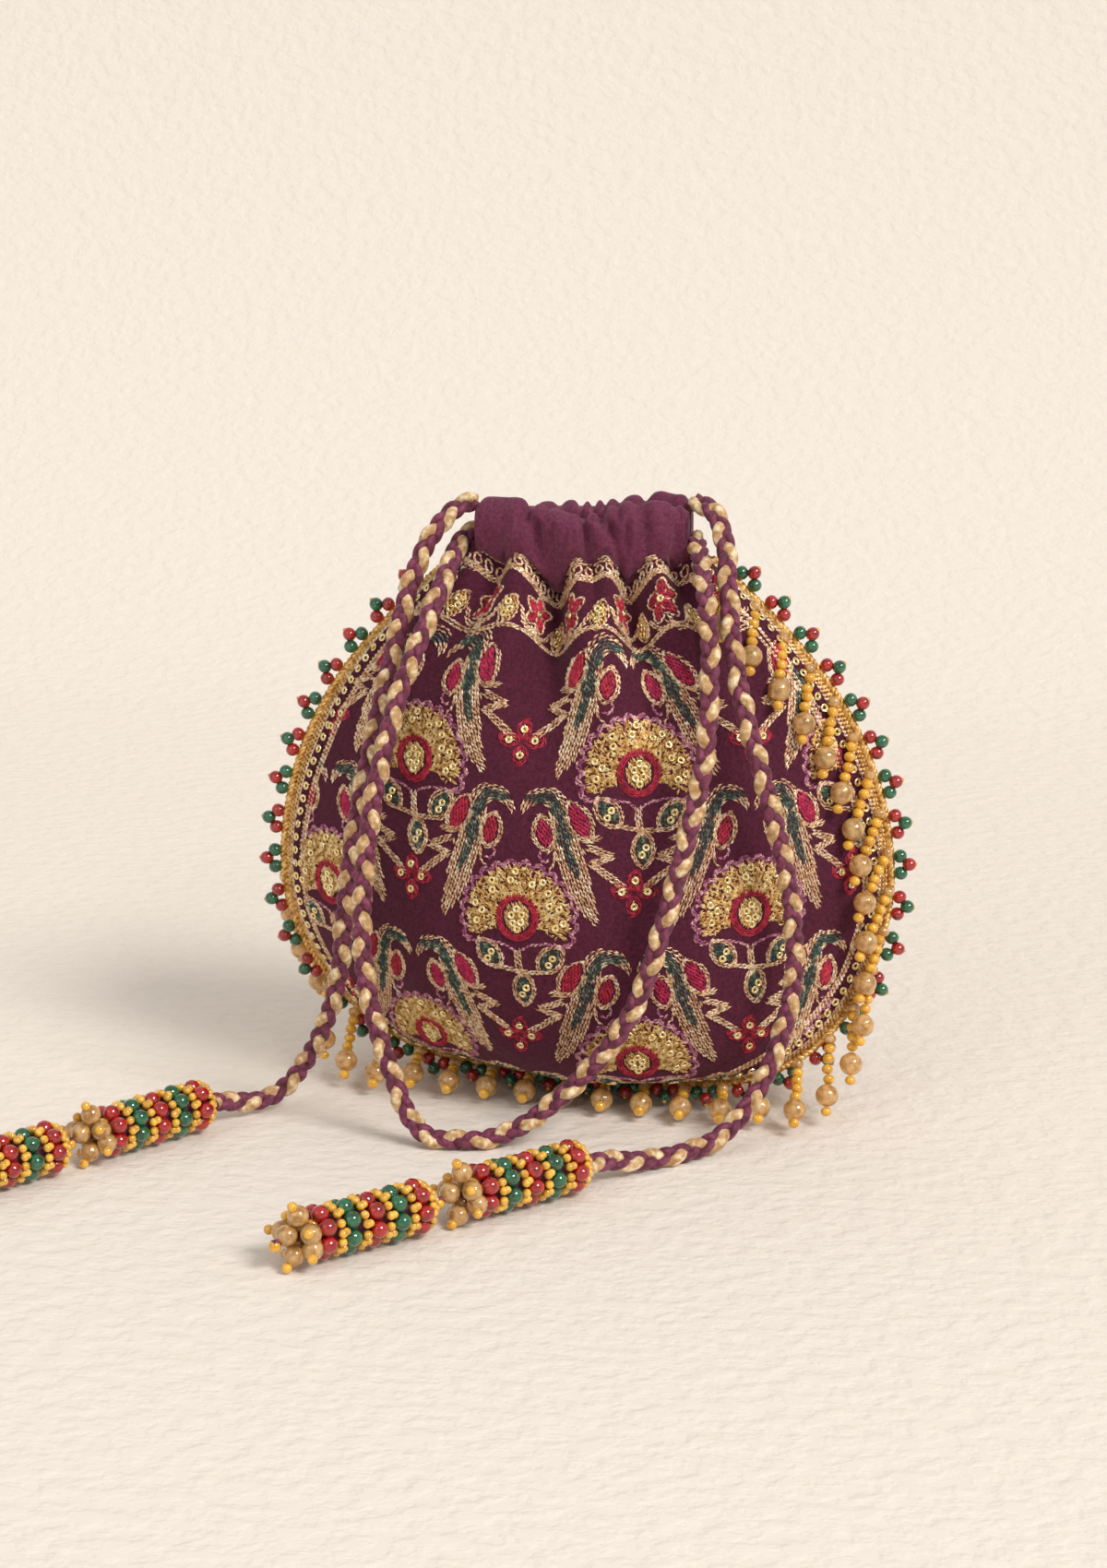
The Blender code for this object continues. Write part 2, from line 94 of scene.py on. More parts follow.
# Folds of the casings: x at the rim and at the foot, half width, depth, how much higher the rim is.
FRONT_FOLDS = [(-25, -24, 4.0, 0.15, 1.4), (-16, -8.5, 1.7, 1.1, 0.9), (-10, -5, 1.1, 0.4, -0.8),
               (1.6, 3.5, 1.1, 1.0, -3.0), (7.4, 12.6, 1.4, 1.2, 0.2), (12.6, 17, 1.0, 0.5, 0.5),
               (19.5, 21, 2.2, 0.6, 1.2), (30.5, 29, 1.7, 0.6, 0.4)]
BACK_FOLDS = [(-29, -29, 1.8, 0.7, -2.4), (-19, -17, 2.0, 0.9, -2.2), (-10, -8, 1.6, 0.6, -1.6),
              (-3, -2, 1.4, 0.8, -0.8), (1, 1, 1.2, 1.0, -0.6), (5, 5, 1.1, 0.7, -0.6),
              (10, 9, 1.6, 0.6, -1.0), (19, 18, 2.2, 0.9, 0.6), (28.5, 28, 3.6, 0.3, 1.6)]

PLAIT_PITCH, PLAIT_SWING, PLAIT_LIFT = 17.0, 1.75, 1.1
PLAIT_YARNS = (1.95, 1.5, 1.5)  # radii: one gold yarn, two plum ones
PLAIT_FACING = (0.1, -0.75, 0.65)
STRANDS = 40
STRAND_SMALL_R, STRAND_SMALL_PITCH, STRAND_SMALL_COUNT, UNDERSIDE_SMALL_COUNT = 2.0, 3.4, 5, 3
STRAND_PEARL_R, STRAND_TIP_R = 3.9, 1.9
BAG_UNDERSIDE_Z = 14.0
STRAND_ASIDE = 4.0
STRAND_LEAN = (0.34, 0.55)
FRINGE_START, FRINGE_END = 0.03, 0.985
PICOT_REACH = 8.8
PICOT_END_Z = 2.6
PICOT_R = 2.45

DRUM_LENGTH, DRUM_ROWS = 42.0, 9
TUFT_LENGTH, TUFT_PEARLS, TUFT_PEARL_R = 15.0, 7, 3.3
# Gold beads at the head of a drum: distance, ring radius, count, bead radius, turn.
DRUM_HEAD = [(0.6, 3.9, 11, 1.15, 0.0), (1.7, 5.6, 15, 1.2, 0.1), (3.2, 6.9, 18, 1.2, 0.3)]
TASSEL_Z = 9.5

TAIL_LEFT_ROUTE = [
    (-36, -2.5, 204), (-44, -7, 200), (-51, -13, 190), (-55.5, -19, 177), (-58.5, -25, 163),
    (-61, -31, 149), (-63.5, -36.5, 136), (-66, -41, 122), (-69, -42, 107), (-71.5, -42.5, 92),
    (-73.5, -43, 77), (-75, -43, 62), (-77, -42.5, 47), (-81.5, -41, 33), (-87.5, -39.5, 20.5),
    (-94.5, -39.5, 10.5), (-102, -42, 5), (-109.5, -49, 6), (-117, -59, 9),
]
LOOP_ROUTE = [
    (-36, 2.5, 194), (-41, -5, 190), (-43, -16, 183), (-45.5, -27, 174), (-49.5, -36, 162),
    (-54, -43, 149), (-57.5, -48.5, 134), (-61, -52, 118), (-63.5, -54, 101), (-65, -55.5, 85),
    (-65.5, -57, 69), (-64, -58.5, 53), (-60, -60.5, 37), (-54.5, -63, 22), (-49, -65.5, 10),
    (-42, -67.5, 3.8), (-33, -68, 3.3), (-23.5, -66, 3.4), (-13.5, -63, 6.5), (-3, -60.5, 14),
    (9, -58.5, 25.5), (20, -57, 40), (27.5, -56, 56), (32.5, -55, 73), (37, -54, 90),
    (41, -52.5, 107), (44.5, -50, 124), (46, -47, 140), (46, -42.5, 155), (45, -36, 169),
    (42.5, -27, 181), (40, -16, 189), (38, -7, 192), (36, -2.5, 193),
]
TAIL_RIGHT_ROUTE = [
    (36, 2.5, 204), (43, -4, 202), (48, -14, 193), (50, -24, 180), (52, -32, 166),
    (55, -37, 151), (59, -40, 136), (64, -41.5, 120), (68.5, -41, 103), (72, -39.5, 87),
    (74, -38.5, 71), (74.5, -39, 55), (72, -42, 40), (67, -48, 25), (60, -55, 13),
    (51, -62.5, 5.5), (41, -70, 3.4), (30, -79.5, 4), (21, -89, 7), (14, -97.5, 9),
]
TASSEL_LEFT_AIM = (-0.632, -0.775)
TASSEL_RIGHT_AIM = (-0.724, -0.690)

CAMERA_PLACE, CAMERA_LOOKS = (129.1, -992.5, 357.0), (-0.135, 0.9609, -0.2419)
LENS = 70.0


# ---------------------------------------------------------------- curves and surfaces

def smooth_through(points, count):
    """count points, evenly spaced along a Catmull-Rom curve through the given points."""
    p = np.array(points, float)
    p = np.vstack([2 * p[0] - p[1], p, 2 * p[-1] - p[-2]])
    t = np.linspace(0, 1, 24, endpoint=False)[:, None]
    dense = []
    for a, b, c, d in zip(p[:-3], p[1:-2], p[2:-1], p[3:]):
        dense.append(0.5 * (2 * b + (c - a) * t + (2 * a - 5 * b + 4 * c - d) * t**2
                            + (3 * b - a - 3 * c + d) * t**3))
    dense = np.vstack([*dense, p[-2]])
    along = arc(dense)
    at = np.linspace(0, along[-1], count)
    return sampled(dense, along, at)


def sampled(values, places, at):
    """Rows of values that belong to places along a line, read at other places on it."""
    return np.stack([np.interp(at, places, column) for column in values.T], axis=1)


def arc(points):
    """Distance along a line of points, from its start to each."""
    steps = np.linalg.norm(np.diff(points, axis=0), axis=1)
    return np.concatenate([[0], np.cumsum(steps)])


def smooth_step(x):
    x = np.clip(x, 0, 1)
    return x * x * (3 - 2 * x)


def unit(v):
    return v / np.maximum(np.linalg.norm(v, axis=-1, keepdims=True), 1e-9)


def twisted(points):
    points = np.array(points, float)
    points[..., 1] -= TWIST * points[..., 0] * (1 - smooth_step(points[..., 2] / TWIST_Z))
    return points


def seam_curve(count):
    xz = smooth_through(SEAM, count)
    forward = -SEAM_FORWARD * (1 - smooth_step(xz[:, 1] / SEAM_LEVEL_Z))
    return np.stack([xz[:, 0], forward, xz[:, 1]], axis=1)


def seam_at(shares):
    """Points on the seam at shares of its length, and the way its picots point."""
    right = seam_curve(200)
    both = twisted(np.vstack([right[:0:-1] * [-1, 1, 1], right])[::6])
    seam = smooth_through(both, 400)
    along = np.gradient(seam, axis=0)
    outward = unit(np.stack([along[:, 2], np.zeros(len(seam)), -along[:, 0]], axis=1))
    lowest = (PICOT_END_Z - seam[:, 2]) / PICOT_REACH
    outward[:, 2] = np.maximum(outward[:, 2], lowest)
    spare = 1 - outward[:, 0] ** 2 - outward[:, 2] ** 2
    outward[:, 1] = -np.sqrt(np.maximum(spare, 0))
    at = np.linspace(0, 1, len(seam))
    return [sampled(v, at, shares) for v in (seam, outward)]


def crown_at(share):
    return BELLY_CROWN + (NECK_CROWN - BELLY_CROWN) * smooth_step((share - 0.6) / 0.4)


def pouch_side(line, rows, columns):
    """A grid of points of one side of the pouch without its gathers: rows from the bottom to the
    neck, each from the left seam to the right."""
    side = np.sign(line[-1][1])
    edge = seam_curve(rows)
    share = (edge[:, 2] - edge[0, 2]) / (edge[-1, 2] - edge[0, 2])
    dense = smooth_through([(100 * f, y, z) for f, y, z in line], 400)
    my, mz = (np.interp(100 * share, dense[:, 0], dense[:, k]) for k in (1, 2))
    start = 1 - smooth_step(share / 0.05)
    mz = np.maximum(mz, 0)
    my, mz = my + start * (edge[:, 1] - my), mz + start * (edge[:, 2] - mz)
    q = np.linspace(-1, 1, columns)
    q = np.sign(q) * (1 - (1 - np.abs(q)) ** 1.25)
    lift = (1 - q * q)[None, :] ** crown_at(share)[:, None]
    x = edge[:, :1] * q
    y = edge[:, 1:2] + side * 1.2 * np.minimum(1, lift * 8) + (my - edge[:, 1])[:, None] * lift
    z = edge[:, 2:3] + (mz - edge[:, 2])[:, None] * lift
    return twisted(np.stack([x, y, z], axis=2))


def at_levels(grid, levels):
    """The same surface as a grid whose rows are level. Every column must rise steadily."""
    out = np.zeros((len(levels), grid.shape[1], 3))
    for j in range(grid.shape[1]):
        column = grid[:, j]
        for k in (0, 1):
            out[:, j, k] = np.interp(levels, column[:, 2], column[:, k])
    out[:, :, 2] = levels[:, None]
    return out


def grid_normals(grid, side):
    """Unit normals out of the pouch. side is -1 for the front and 1 for the back."""
    across, up = np.gradient(grid, axis=1), np.gradient(grid, axis=0)
    return unit(np.cross(across, up) * -side)


def ripple(x, z):
    """Slight unevenness of cloth that stands by itself, in millimetres."""
    soft = np.sin(x * 0.071 + 1.3 * np.sin(z * 0.043)) * np.sin(z * 0.057 + 0.9)
    return RIPPLE * (soft + 0.5 * np.sin(x * 0.17 + z * 0.11) * np.sin(z * 0.13 - x * 0.05))


def gathered(grid, valleys, side):
    """The surface pressed in along its valleys, and a little fuller between them."""
    x, z = grid[:, :, 0], grid[:, :, 2]
    push = ripple(x, z)
    sag = np.zeros_like(x)
    high = smooth_step((z - 152) / 26)
    for valley in valleys:
        zs, xs, depths, widths = np.array(valley, float)[::-1].T
        centre, width = np.interp(z, zs, xs), np.interp(z, zs, widths)
        depth = np.interp(z, zs, depths)
        away = (x - centre) / width
        push -= depth * np.exp(-away**2)
        push += 0.28 * depth * np.exp(-((np.abs(away) - 2.1) / 0.9) ** 2)
        sag += 0.85 * depth * np.exp(-((away / 1.5) ** 2)) * high
    edge = np.minimum(1, (1 - np.abs(np.linspace(-1, 1, grid.shape[1]))) * 9)
    moved = grid + grid_normals(grid, side) * (push * edge)[:, :, None]
    moved[:, :, 2] -= np.minimum(sag, 7) * edge
    return moved


class Cloth:
    """One gathered panel, and its flat coordinates: X across from the middle, Y up the middle."""

    def __init__(self, line, valleys, side, columns):
        self.side = side
        self.levels = np.concatenate([np.linspace(6.6, 14, 8), np.linspace(15, 191, 150)])
        base = pouch_side(line, 420, columns)
        if side > 0:
            self.grid = base[::3]
        else:
            self.grid = at_levels(base, self.levels)
            self.grid[-3:, :, 2] = self.levels[-3:, None]
        self.grid = gathered(self.grid, valleys, side)
        self.grid[:, :, 2] = np.maximum(self.grid[:, :, 2], 0)
        self.normals = grid_normals(self.grid, side)
        steps = np.linalg.norm(np.diff(self.grid, axis=1), axis=2)
        across = np.concatenate([np.zeros((len(steps), 1)), np.cumsum(steps, axis=1)], axis=1)
        middle = self.grid.shape[1] // 2
        self.X = across - across[:, middle:middle + 1]
        self.Y = arc(self.grid[:, middle])
        self.middle_z = self.grid[:, middle, 2]

    def height(self, z):
        """Y where the middle of the panel is z high."""
        return float(np.interp(z, self.middle_z, self.Y))

    def place(self, X, Y):
        """Points and normals of the panel at flat coordinates, and which of them are on it."""
        row = np.interp(Y, self.Y, np.arange(len(self.Y)))
        low = np.clip(row.astype(int), 0, len(self.Y) - 2)
        t = (row - low)[:, None]
        ends = []
        for r in (low, low + 1):
            column = np.zeros(len(X))
            for k in np.unique(r):
                mine = r == k
                column[mine] = np.interp(X[mine], self.X[k], np.arange(self.X.shape[1]))
            c = np.clip(column.astype(int), 0, self.X.shape[1] - 2)
            s = (column - c)[:, None]
            ends.append([v[r, c] * (1 - s) + v[r, c + 1] * s for v in (self.grid, self.normals)])
        (p0, n0), (p1, n1) = ends
        inside = (Y > self.Y[0]) & (Y < self.Y[-1])
        edges = self.X[np.clip(np.round(row).astype(int), 0, len(self.Y) - 1)]
        inside &= (X > edges[:, 0] + 9.5) & (X < edges[:, -1] - 9.5)
        points = p0 * (1 - t) + p1 * t
        inside &= points[:, 2] > LOWEST_STITCH_Z
        return points, unit(n0 * (1 - t) + n1 * t), inside


# ---------------------------------------------------------------- meshes

def new_mesh(name, points, faces, mat):
    """A mesh object from points in millimetres and arrays of faces, each all of one size."""
    faces = [np.asarray(f, np.int32) for f in (faces if isinstance(faces, list) else [faces])]
    faces = [f for f in faces if len(f)]
    loops = np.concatenate([f.ravel() for f in faces])
    totals = np.concatenate([np.full(len(f), f.shape[1], np.int32) for f in faces])
    mesh = bpy.data.meshes.new(name)
    mesh.vertices.add(len(points))
    mesh.vertices.foreach_set("co", (np.asarray(points, float) * MM).ravel().astype(np.float32))
    mesh.loops.add(len(loops))
    mesh.loops.foreach_set("vertex_index", loops)
    mesh.polygons.add(len(totals))
    mesh.polygons.foreach_set("loop_start", np.cumsum(totals) - totals)
    mesh.update(calc_edges=True)
    mesh.validate()
    mesh.shade_smooth()
    mesh.materials.append(mat)
    return add_to_scene(name, mesh)


def grid_faces(rows, columns, wrap=False):
    """Quads of a rows by columns grid of points. wrap joins its last column to its first."""
    r, c = np.meshgrid(np.arange(rows - 1), np.arange(columns if wrap else columns - 1),
                       indexing="ij")
    a = r * columns + c
    b = r * columns + (c + 1) % columns
    return np.stack([a, b, b + columns, a + columns], axis=-1).reshape(-1, 4)


def end_caps(rows, sides):
    """The two many-sided faces that close a wrapped grid of points."""
    ring = np.arange(sides)
    return np.array([ring[::-1], (rows - 1) * sides + ring])


def copies(template, faces, frames, centres):
    """Points and faces of a template placed once per 3 by 3 frame (rows are its axes)."""
    points = np.einsum("vk,nkj->nvj", template, frames) + centres[:, None, :]
    offset = np.arange(len(centres))[:, None, None] * len(template)
    return points.reshape(-1, 3), (faces[None] + offset).reshape(-1, faces.shape[1])


def cord_frames(line):
    """Directions along a line, and two steady axes across it."""
    along = unit(np.gradient(line, axis=0))
    across = np.zeros_like(along)
    start = np.array([0.0, 1.0, 0.0])
    for i, d in enumerate(along):
        start = start - d * (start @ d)
        start /= np.linalg.norm(start)
        across[i] = start
    return along, across, np.cross(along, across)


def tube(line, radii, sides):
    """Points and faces of a tube of the given radii round a line, with closed ends."""
    along, across, third = cord_frames(line)
    a = np.linspace(0, 2 * math.pi, sides, endpoint=False)
    ring = across[:, None] * np.cos(a)[None, :, None] + third[:, None] * np.sin(a)[None, :, None]
    points = (line[:, None] + ring * np.broadcast_to(radii, len(line))[:, None, None]).reshape(-1, 3)
    return points, grid_faces(len(line), sides, wrap=True), end_caps(len(line), sides)


class Pile:
    """Collects parts of one colour into a single mesh."""

    def __init__(self):
        self.points, self.faces, self.count = [], {}, 0

    def add(self, points, *faces):
        for f in faces:
            f = np.asarray(f)
            if len(f):
                self.faces.setdefault(f.shape[1], []).append(f + self.count)
        self.points.append(points)
        self.count += len(points)

    def mesh(self, name, mat):
        faces = [np.concatenate(v) for v in self.faces.values()]
        return new_mesh(name, np.concatenate(self.points), faces, mat)


def ball_template(rings, sides):
    """A unit ball about its own third axis, pierced ends flat."""
    a = np.linspace(0, 2 * math.pi, sides, endpoint=False)
    b = np.linspace(0.16, math.pi - 0.16, rings)
    points = [(math.sin(v) * math.cos(u), math.sin(v) * math.sin(u), math.cos(v))
              for v in b for u in a]
    faces = grid_faces(rings, sides, wrap=True)
    return np.array(points), faces[:, ::-1], end_caps(rings, sides)[:, ::-1]


def add_balls(pile, centres, radii, axes, rings=9, sides=12, squash=1.0):
    """Beads at the centres; axes are the directions of their holes."""
    template, faces, caps = ball_template(rings, sides)
    axes = unit(np.asarray(axes, float))
    helper = np.where(np.abs(axes[:, 2:]) < 0.9, [[0.0, 0.0, 1.0]], [[1.0, 0.0, 0.0]])
    first = unit(np.cross(helper, axes))
    second = np.cross(axes, first)
    radii = np.broadcast_to(radii, len(centres))[:, None]
    frames = np.stack([first * radii, second * radii, axes * radii * squash], axis=1)
    points, quads = copies(template, faces, frames, np.asarray(centres, float))
    _, ends = copies(template, caps, frames, np.asarray(centres, float))
    pile.add(points, quads, ends)


# ---------------------------------------------------------------- materials

class Shader:
    """A Principled material, with short calls for the nodes that vary it."""

    def __init__(self, name, colour, roughness=0.6, metallic=0.0, **constants):
        self.mat = bpy.data.materials.new(name)
        self.mat.use_nodes = True
        self.tree = self.mat.node_tree
        self.bsdf = self.tree.nodes["Principled BSDF"]
        self.set("Base Color", (*colour, 1))
        self.set("Roughness", roughness)
        self.set("Metallic", metallic)
        for key, value in constants.items():
            self.set(key.replace("_", " "), value)

    def set(self, socket, value):
        self.bsdf.inputs[socket].default_value = value

    def node(self, kind, **values):
        node = self.tree.nodes.new(kind)
        for key, value in values.items():
            if hasattr(node, key):
                setattr(node, key, value)
            else:
                node.inputs[key.replace("_", " ")].default_value = value
        return node

    def link(self, a, b):
        self.tree.links.new(a, b)

    def coordinates(self, scale):
        where = self.node("ShaderNodeTexCoord").outputs["Object"]
        mapping = self.node("ShaderNodeMapping")
        mapping.inputs["Scale"].default_value = scale
        self.link(where, mapping.inputs["Vector"])
        return mapping.outputs["Vector"]

    def noise(self, scale, detail=2.0, stretch=(1, 1, 1)):
        noise = self.node("ShaderNodeTexNoise", Scale=scale, Detail=detail)
        self.link(self.coordinates(stretch), noise.inputs["Vector"])
        return noise.outputs["Fac"]

    def ramp(self, value, stops):
        node = self.node("ShaderNodeValToRGB")
        elements = node.color_ramp.elements
        while len(elements) < len(stops):
            elements.new(0.5)
        for element, (place, colour) in zip(elements, stops):
            element.position = place
            element.color = (*colour, 1)
        self.link(value, node.inputs["Fac"])
        return node.outputs["Color"]

    def colour(self, value, stops):
        self.link(self.ramp(value, stops), self.bsdf.inputs["Base Color"])

    def bump(self, value, strength, distance):
        bump = self.node("ShaderNodeBump", Strength=strength, Distance=distance)
        self.link(value, bump.inputs["Height"])
        before = self.bsdf.inputs["Normal"]
        if before.is_linked:
            self.link(before.links[0].from_socket, bump.inputs["Normal"])
        self.link(bump.outputs["Normal"], self.bsdf.inputs["Normal"])


def cloth_material(name, dark, light, nap=0.35):
    s = Shader(name, light, 0.85, Sheen_Weight=nap, Sheen_Roughness=0.4, Specular_IOR_Level=0.25)
    s.set("Sheen Tint", (0.95, 0.62, 0.75, 1))
    s.colour(s.noise(900, 4), [(0.3, dark), (0.7, light)])
    s.bump(s.noise(1700, 3, (1, 1, 1.5)), 0.6, 0.0007)
    s.bump(s.noise(90, 2), 0.25, 0.004)
    return s.mat


def thread_material(name, dark, mid, light, metallic=0.75, roughness=0.34):
    s = Shader(name, mid, roughness, metallic)
    s.colour(s.noise(650, 1), [(0.3, dark), (0.5, mid), (0.72, light)])
    s.bump(s.noise(2600, 1), 0.4, 0.0003)
    return s.mat


def yarn_material(name, dark, mid, light, roughness):
    """Soft yarn with fine fibres."""
    s = Shader(name, mid, roughness, 0.0, Sheen_Weight=0.2, Sheen_Roughness=0.4)
    s.colour(s.noise(420, 3), [(0.3, dark), (0.5, mid), (0.68, light)])
    s.bump(s.noise(2400, 2), 0.7, 0.0004)
    return s.mat


def bead_material(name, dark, light, through=0.0, roughness=0.12, crackle=0.0):
    s = Shader(name, light, roughness, Transmission_Weight=through, Coat_Weight=1.0,
               Coat_Roughness=0.04, IOR=1.52)
    s.colour(s.noise(420, 3), [(0.35, dark), (0.62, light)])
    if crackle:
        cells = s.node("ShaderNodeTexVoronoi", feature="DISTANCE_TO_EDGE", Scale=900.0)
        s.link(s.coordinates((1, 1, 1)), cells.inputs["Vector"])
        s.bump(cells.outputs["Distance"], crackle, 0.0004)
    return s.mat


def make_materials():
    return {
        "cloth": cloth_material("plum_cloth", (0.050, 0.006, 0.017), (0.108, 0.014, 0.040), 0.12),
        "header": cloth_material("plum_header", (0.100, 0.017, 0.042), (0.185, 0.038, 0.085), 0.25),
        "lining": cloth_material("lining_cloth", (0.05, 0.010, 0.022), (0.09, 0.02, 0.04)),
        "gold": thread_material("gold_thread", (0.40, 0.19, 0.09), (0.86, 0.56, 0.32),
                                (1.0, 0.90, 0.70), 0.4, 0.28),
        "fan": thread_material("fan_gold_thread", (0.34, 0.14, 0.03), (0.82, 0.50, 0.16),
                               (1.0, 0.88, 0.50), 0.4, 0.28),
        "green": thread_material("green_thread", (0.014, 0.042, 0.034), (0.045, 0.105, 0.078),
                                 (0.36, 0.38, 0.27), 0.2, 0.45),
        "red": thread_material("red_thread", (0.28, 0.006, 0.025), (0.52, 0.014, 0.05),
                               (0.68, 0.05, 0.09), 0.0, 0.6),
        "magenta": thread_material("magenta_thread", (0.30, 0.006, 0.05), (0.56, 0.014, 0.09),
                                   (0.74, 0.06, 0.15), 0.0, 0.6),
        "pink": thread_material("pink_thread", (0.26, 0.05, 0.12), (0.50, 0.16, 0.27),
                                (0.92, 0.62, 0.56), 0.25, 0.4),
        "trim": thread_material("edge_gold_thread", (0.36, 0.15, 0.03), (0.76, 0.42, 0.11),
                                (1.0, 0.72, 0.32), 0.45, 0.35),
        "sequin": thread_material("sequin_gold", (0.80, 0.55, 0.2), (0.95, 0.76, 0.38),
                                  (1.0, 0.9, 0.62), 0.85, 0.15),
        "cord_plum": yarn_material("cord_plum_yarn", (0.07, 0.006, 0.022), (0.15, 0.017, 0.052),
                                   (0.26, 0.05, 0.11), 0.6),
        "cord_gold": yarn_material("cord_gold_yarn", (0.36, 0.18, 0.06), (0.62, 0.38, 0.17),
                                   (0.95, 0.80, 0.53), 0.38),
        "amber": bead_material("amber_bead", (0.74, 0.34, 0.010), (1.0, 0.55, 0.045), 0.15, 0.08),
        "gold_bead": bead_material("gold_seed_bead", (0.58, 0.27, 0.012), (0.92, 0.52, 0.05), 0.0, 0.1),
        "pearl": bead_material("champagne_bead", (0.52, 0.25, 0.05), (0.98, 0.62, 0.24), 0.45, 0.06, 0.3),
        "red_bead": bead_material("red_glass_bead", (0.26, 0.003, 0.004), (0.56, 0.010, 0.010),
                                  0.2, 0.05),
        "green_bead": bead_material("green_glass_bead", (0.004, 0.06, 0.024), (0.012, 0.18, 0.075),
                                    0.2, 0.05),
    }


# ---------------------------------------------------------------- embroidery

# Length and width of a stitch of each colour.
STITCH = {"gold": (2.1, 0.66), "fan": (1.9, 0.66), "green": (2.0, 0.72), "red": (3.0, 0.62),
          "magenta": (3.0, 0.62), "pink": (1.9, 0.8)}


def rotated(points, degrees):
    a = math.radians(degrees)
    x, y = np.asarray(points, float).T
    return np.stack([x * math.cos(a) - y * math.sin(a), x * math.sin(a) + y * math.cos(a)], axis=1)


def polar(radius, degrees):
    a = math.radians(degrees)
    return np.array([radius * math.cos(a), radius * math.sin(a)])


class Leaf:
    """A pointed oval: centre, length, width and the direction of its length in degrees."""

    def __init__(self, centre, length, width, degrees):
        self.centre, self.length, self.width, self.degrees = centre, length, width, degrees

    def holds(self, points, margin=0.0):
        local = rotated(np.asarray(points) - self.centre, -self.degrees)
        u = 2 * local[:, 0] / (self.length + 2 * margin)
        half = (self.width / 2 + margin) * np.maximum(1 - u * u, 0) ** 0.75
        return (np.abs(u) < 1) & (np.abs(local[:, 1]) < half)

    def outline(self, grow=0.0, count=40):
        a = np.linspace(0, 2 * math.pi, count)
        u = np.cos(a)
        v = np.sign(np.sin(a)) * (1 - u * u) ** 0.75
        local = np.stack([u * (self.length / 2 + grow), v * (self.width / 2 + grow)], axis=1)
        return rotated(local, self.degrees) + self.centre


class Motif:
    """Stitches and sequins in flat millimetres: rows of (x, y, direction) by colour."""

    def __init__(self):
        self.stitches, self.sequins = {}, []

    def add(self, colour, points, angles):
        if len(points):
            rows = np.column_stack([points, angles])
            self.stitches.setdefault(colour, []).append(rows)

    def line(self, colour, points, rows=1, pitch=0.85, smooth=True):
        """Chain stitch along a line, one or more rows wide."""
        points = np.asarray(points, float)
        if smooth and len(points) > 2:
            points = smooth_through(points, max(8, 4 * len(points)))
        along = arc(points)
        step = STITCH[colour][0] * 0.8
        for k in range(rows):
            s = np.arange((k % 2) * step / 2, along[-1], step)
            xy = sampled(points, along, s)
            way = unit(sampled(points, along, s + 0.3) - sampled(points, along, s - 0.3))
            aside = np.stack([-way[:, 1], way[:, 0]], axis=1)
            xy = xy + aside * (k - (rows - 1) / 2) * pitch
            self.add(colour, xy, np.arctan2(way[:, 1], way[:, 0]))

    def rim(self, colour, leaf, *grows):
        """Chain stitch round a leaf, one row for each distance from its edge."""
        for grow in grows:
            self.line(colour, leaf.outline(grow), smooth=False)

    def ribbon(self, spine, widths, colour_of, pitch=0.98):
        """Rows of stitches that follow a spine, within a width that changes along it."""
        spine = np.column_stack([spine, widths]).astype(float)
        dense = smooth_through(spine, 160)
        points, width = dense[:, :2], dense[:, 2]
        along = arc(points)
        rows = int(width.max() / pitch) + 1
        for k in range(rows):
            offset = (k - (rows - 1) / 2) * pitch
            s = np.arange(RNG.uniform(0, 1.5), along[-1], 1.65)
            xy = sampled(points, along, s)
            way = unit(np.gradient(xy, axis=0))
            aside = np.stack([-way[:, 1], way[:, 0]], axis=1)
            half = np.interp(s, along, width) / 2
            keep = abs(offset) <= half
            xy = (xy + aside * offset)[keep]
            angle = np.arctan2(way[:, 1], way[:, 0])[keep]
            colours = colour_of(xy)
            for colour in set(colours):
                mine = colours == colour
                if colour:
                    self.add(colour, xy[mine], angle[mine])

    def fill(self, colour, leaf, pitch=0.7):
        """Satin stitches along a leaf."""
        step = STITCH[colour][0] * 0.72
        u = np.arange(-leaf.length / 2, leaf.length / 2, step)
        v = np.arange(-leaf.width / 2, leaf.width / 2 + pitch, pitch)
        grid = np.array([(a + (i % 2) * step / 2, b) for i, b in enumerate(v) for a in u])
        points = rotated(grid, leaf.degrees) + leaf.centre
        points = points[leaf.holds(points)]
        self.add(colour, points, np.full(len(points), math.radians(leaf.degrees)))

    def sequin(self, *points):
        self.sequins += [tuple(p) for p in points]

    def merge(self, other, offset, mirror=False):
        flip = -1 if mirror else 1
        for colour, parts in other.stitches.items():
            rows = np.concatenate(parts)
            way = np.stack([flip * np.cos(rows[:, 2]), np.sin(rows[:, 2])], axis=1)
            points = rows[:, :2] * [flip, 1] + offset
            if mirror and colour == "red":
                colour = "magenta"
            self.add(colour, points, np.arctan2(way[:, 1], way[:, 0]))
        self.sequins += [(flip * x + offset[0], y + offset[1]) for x, y in other.sequins]


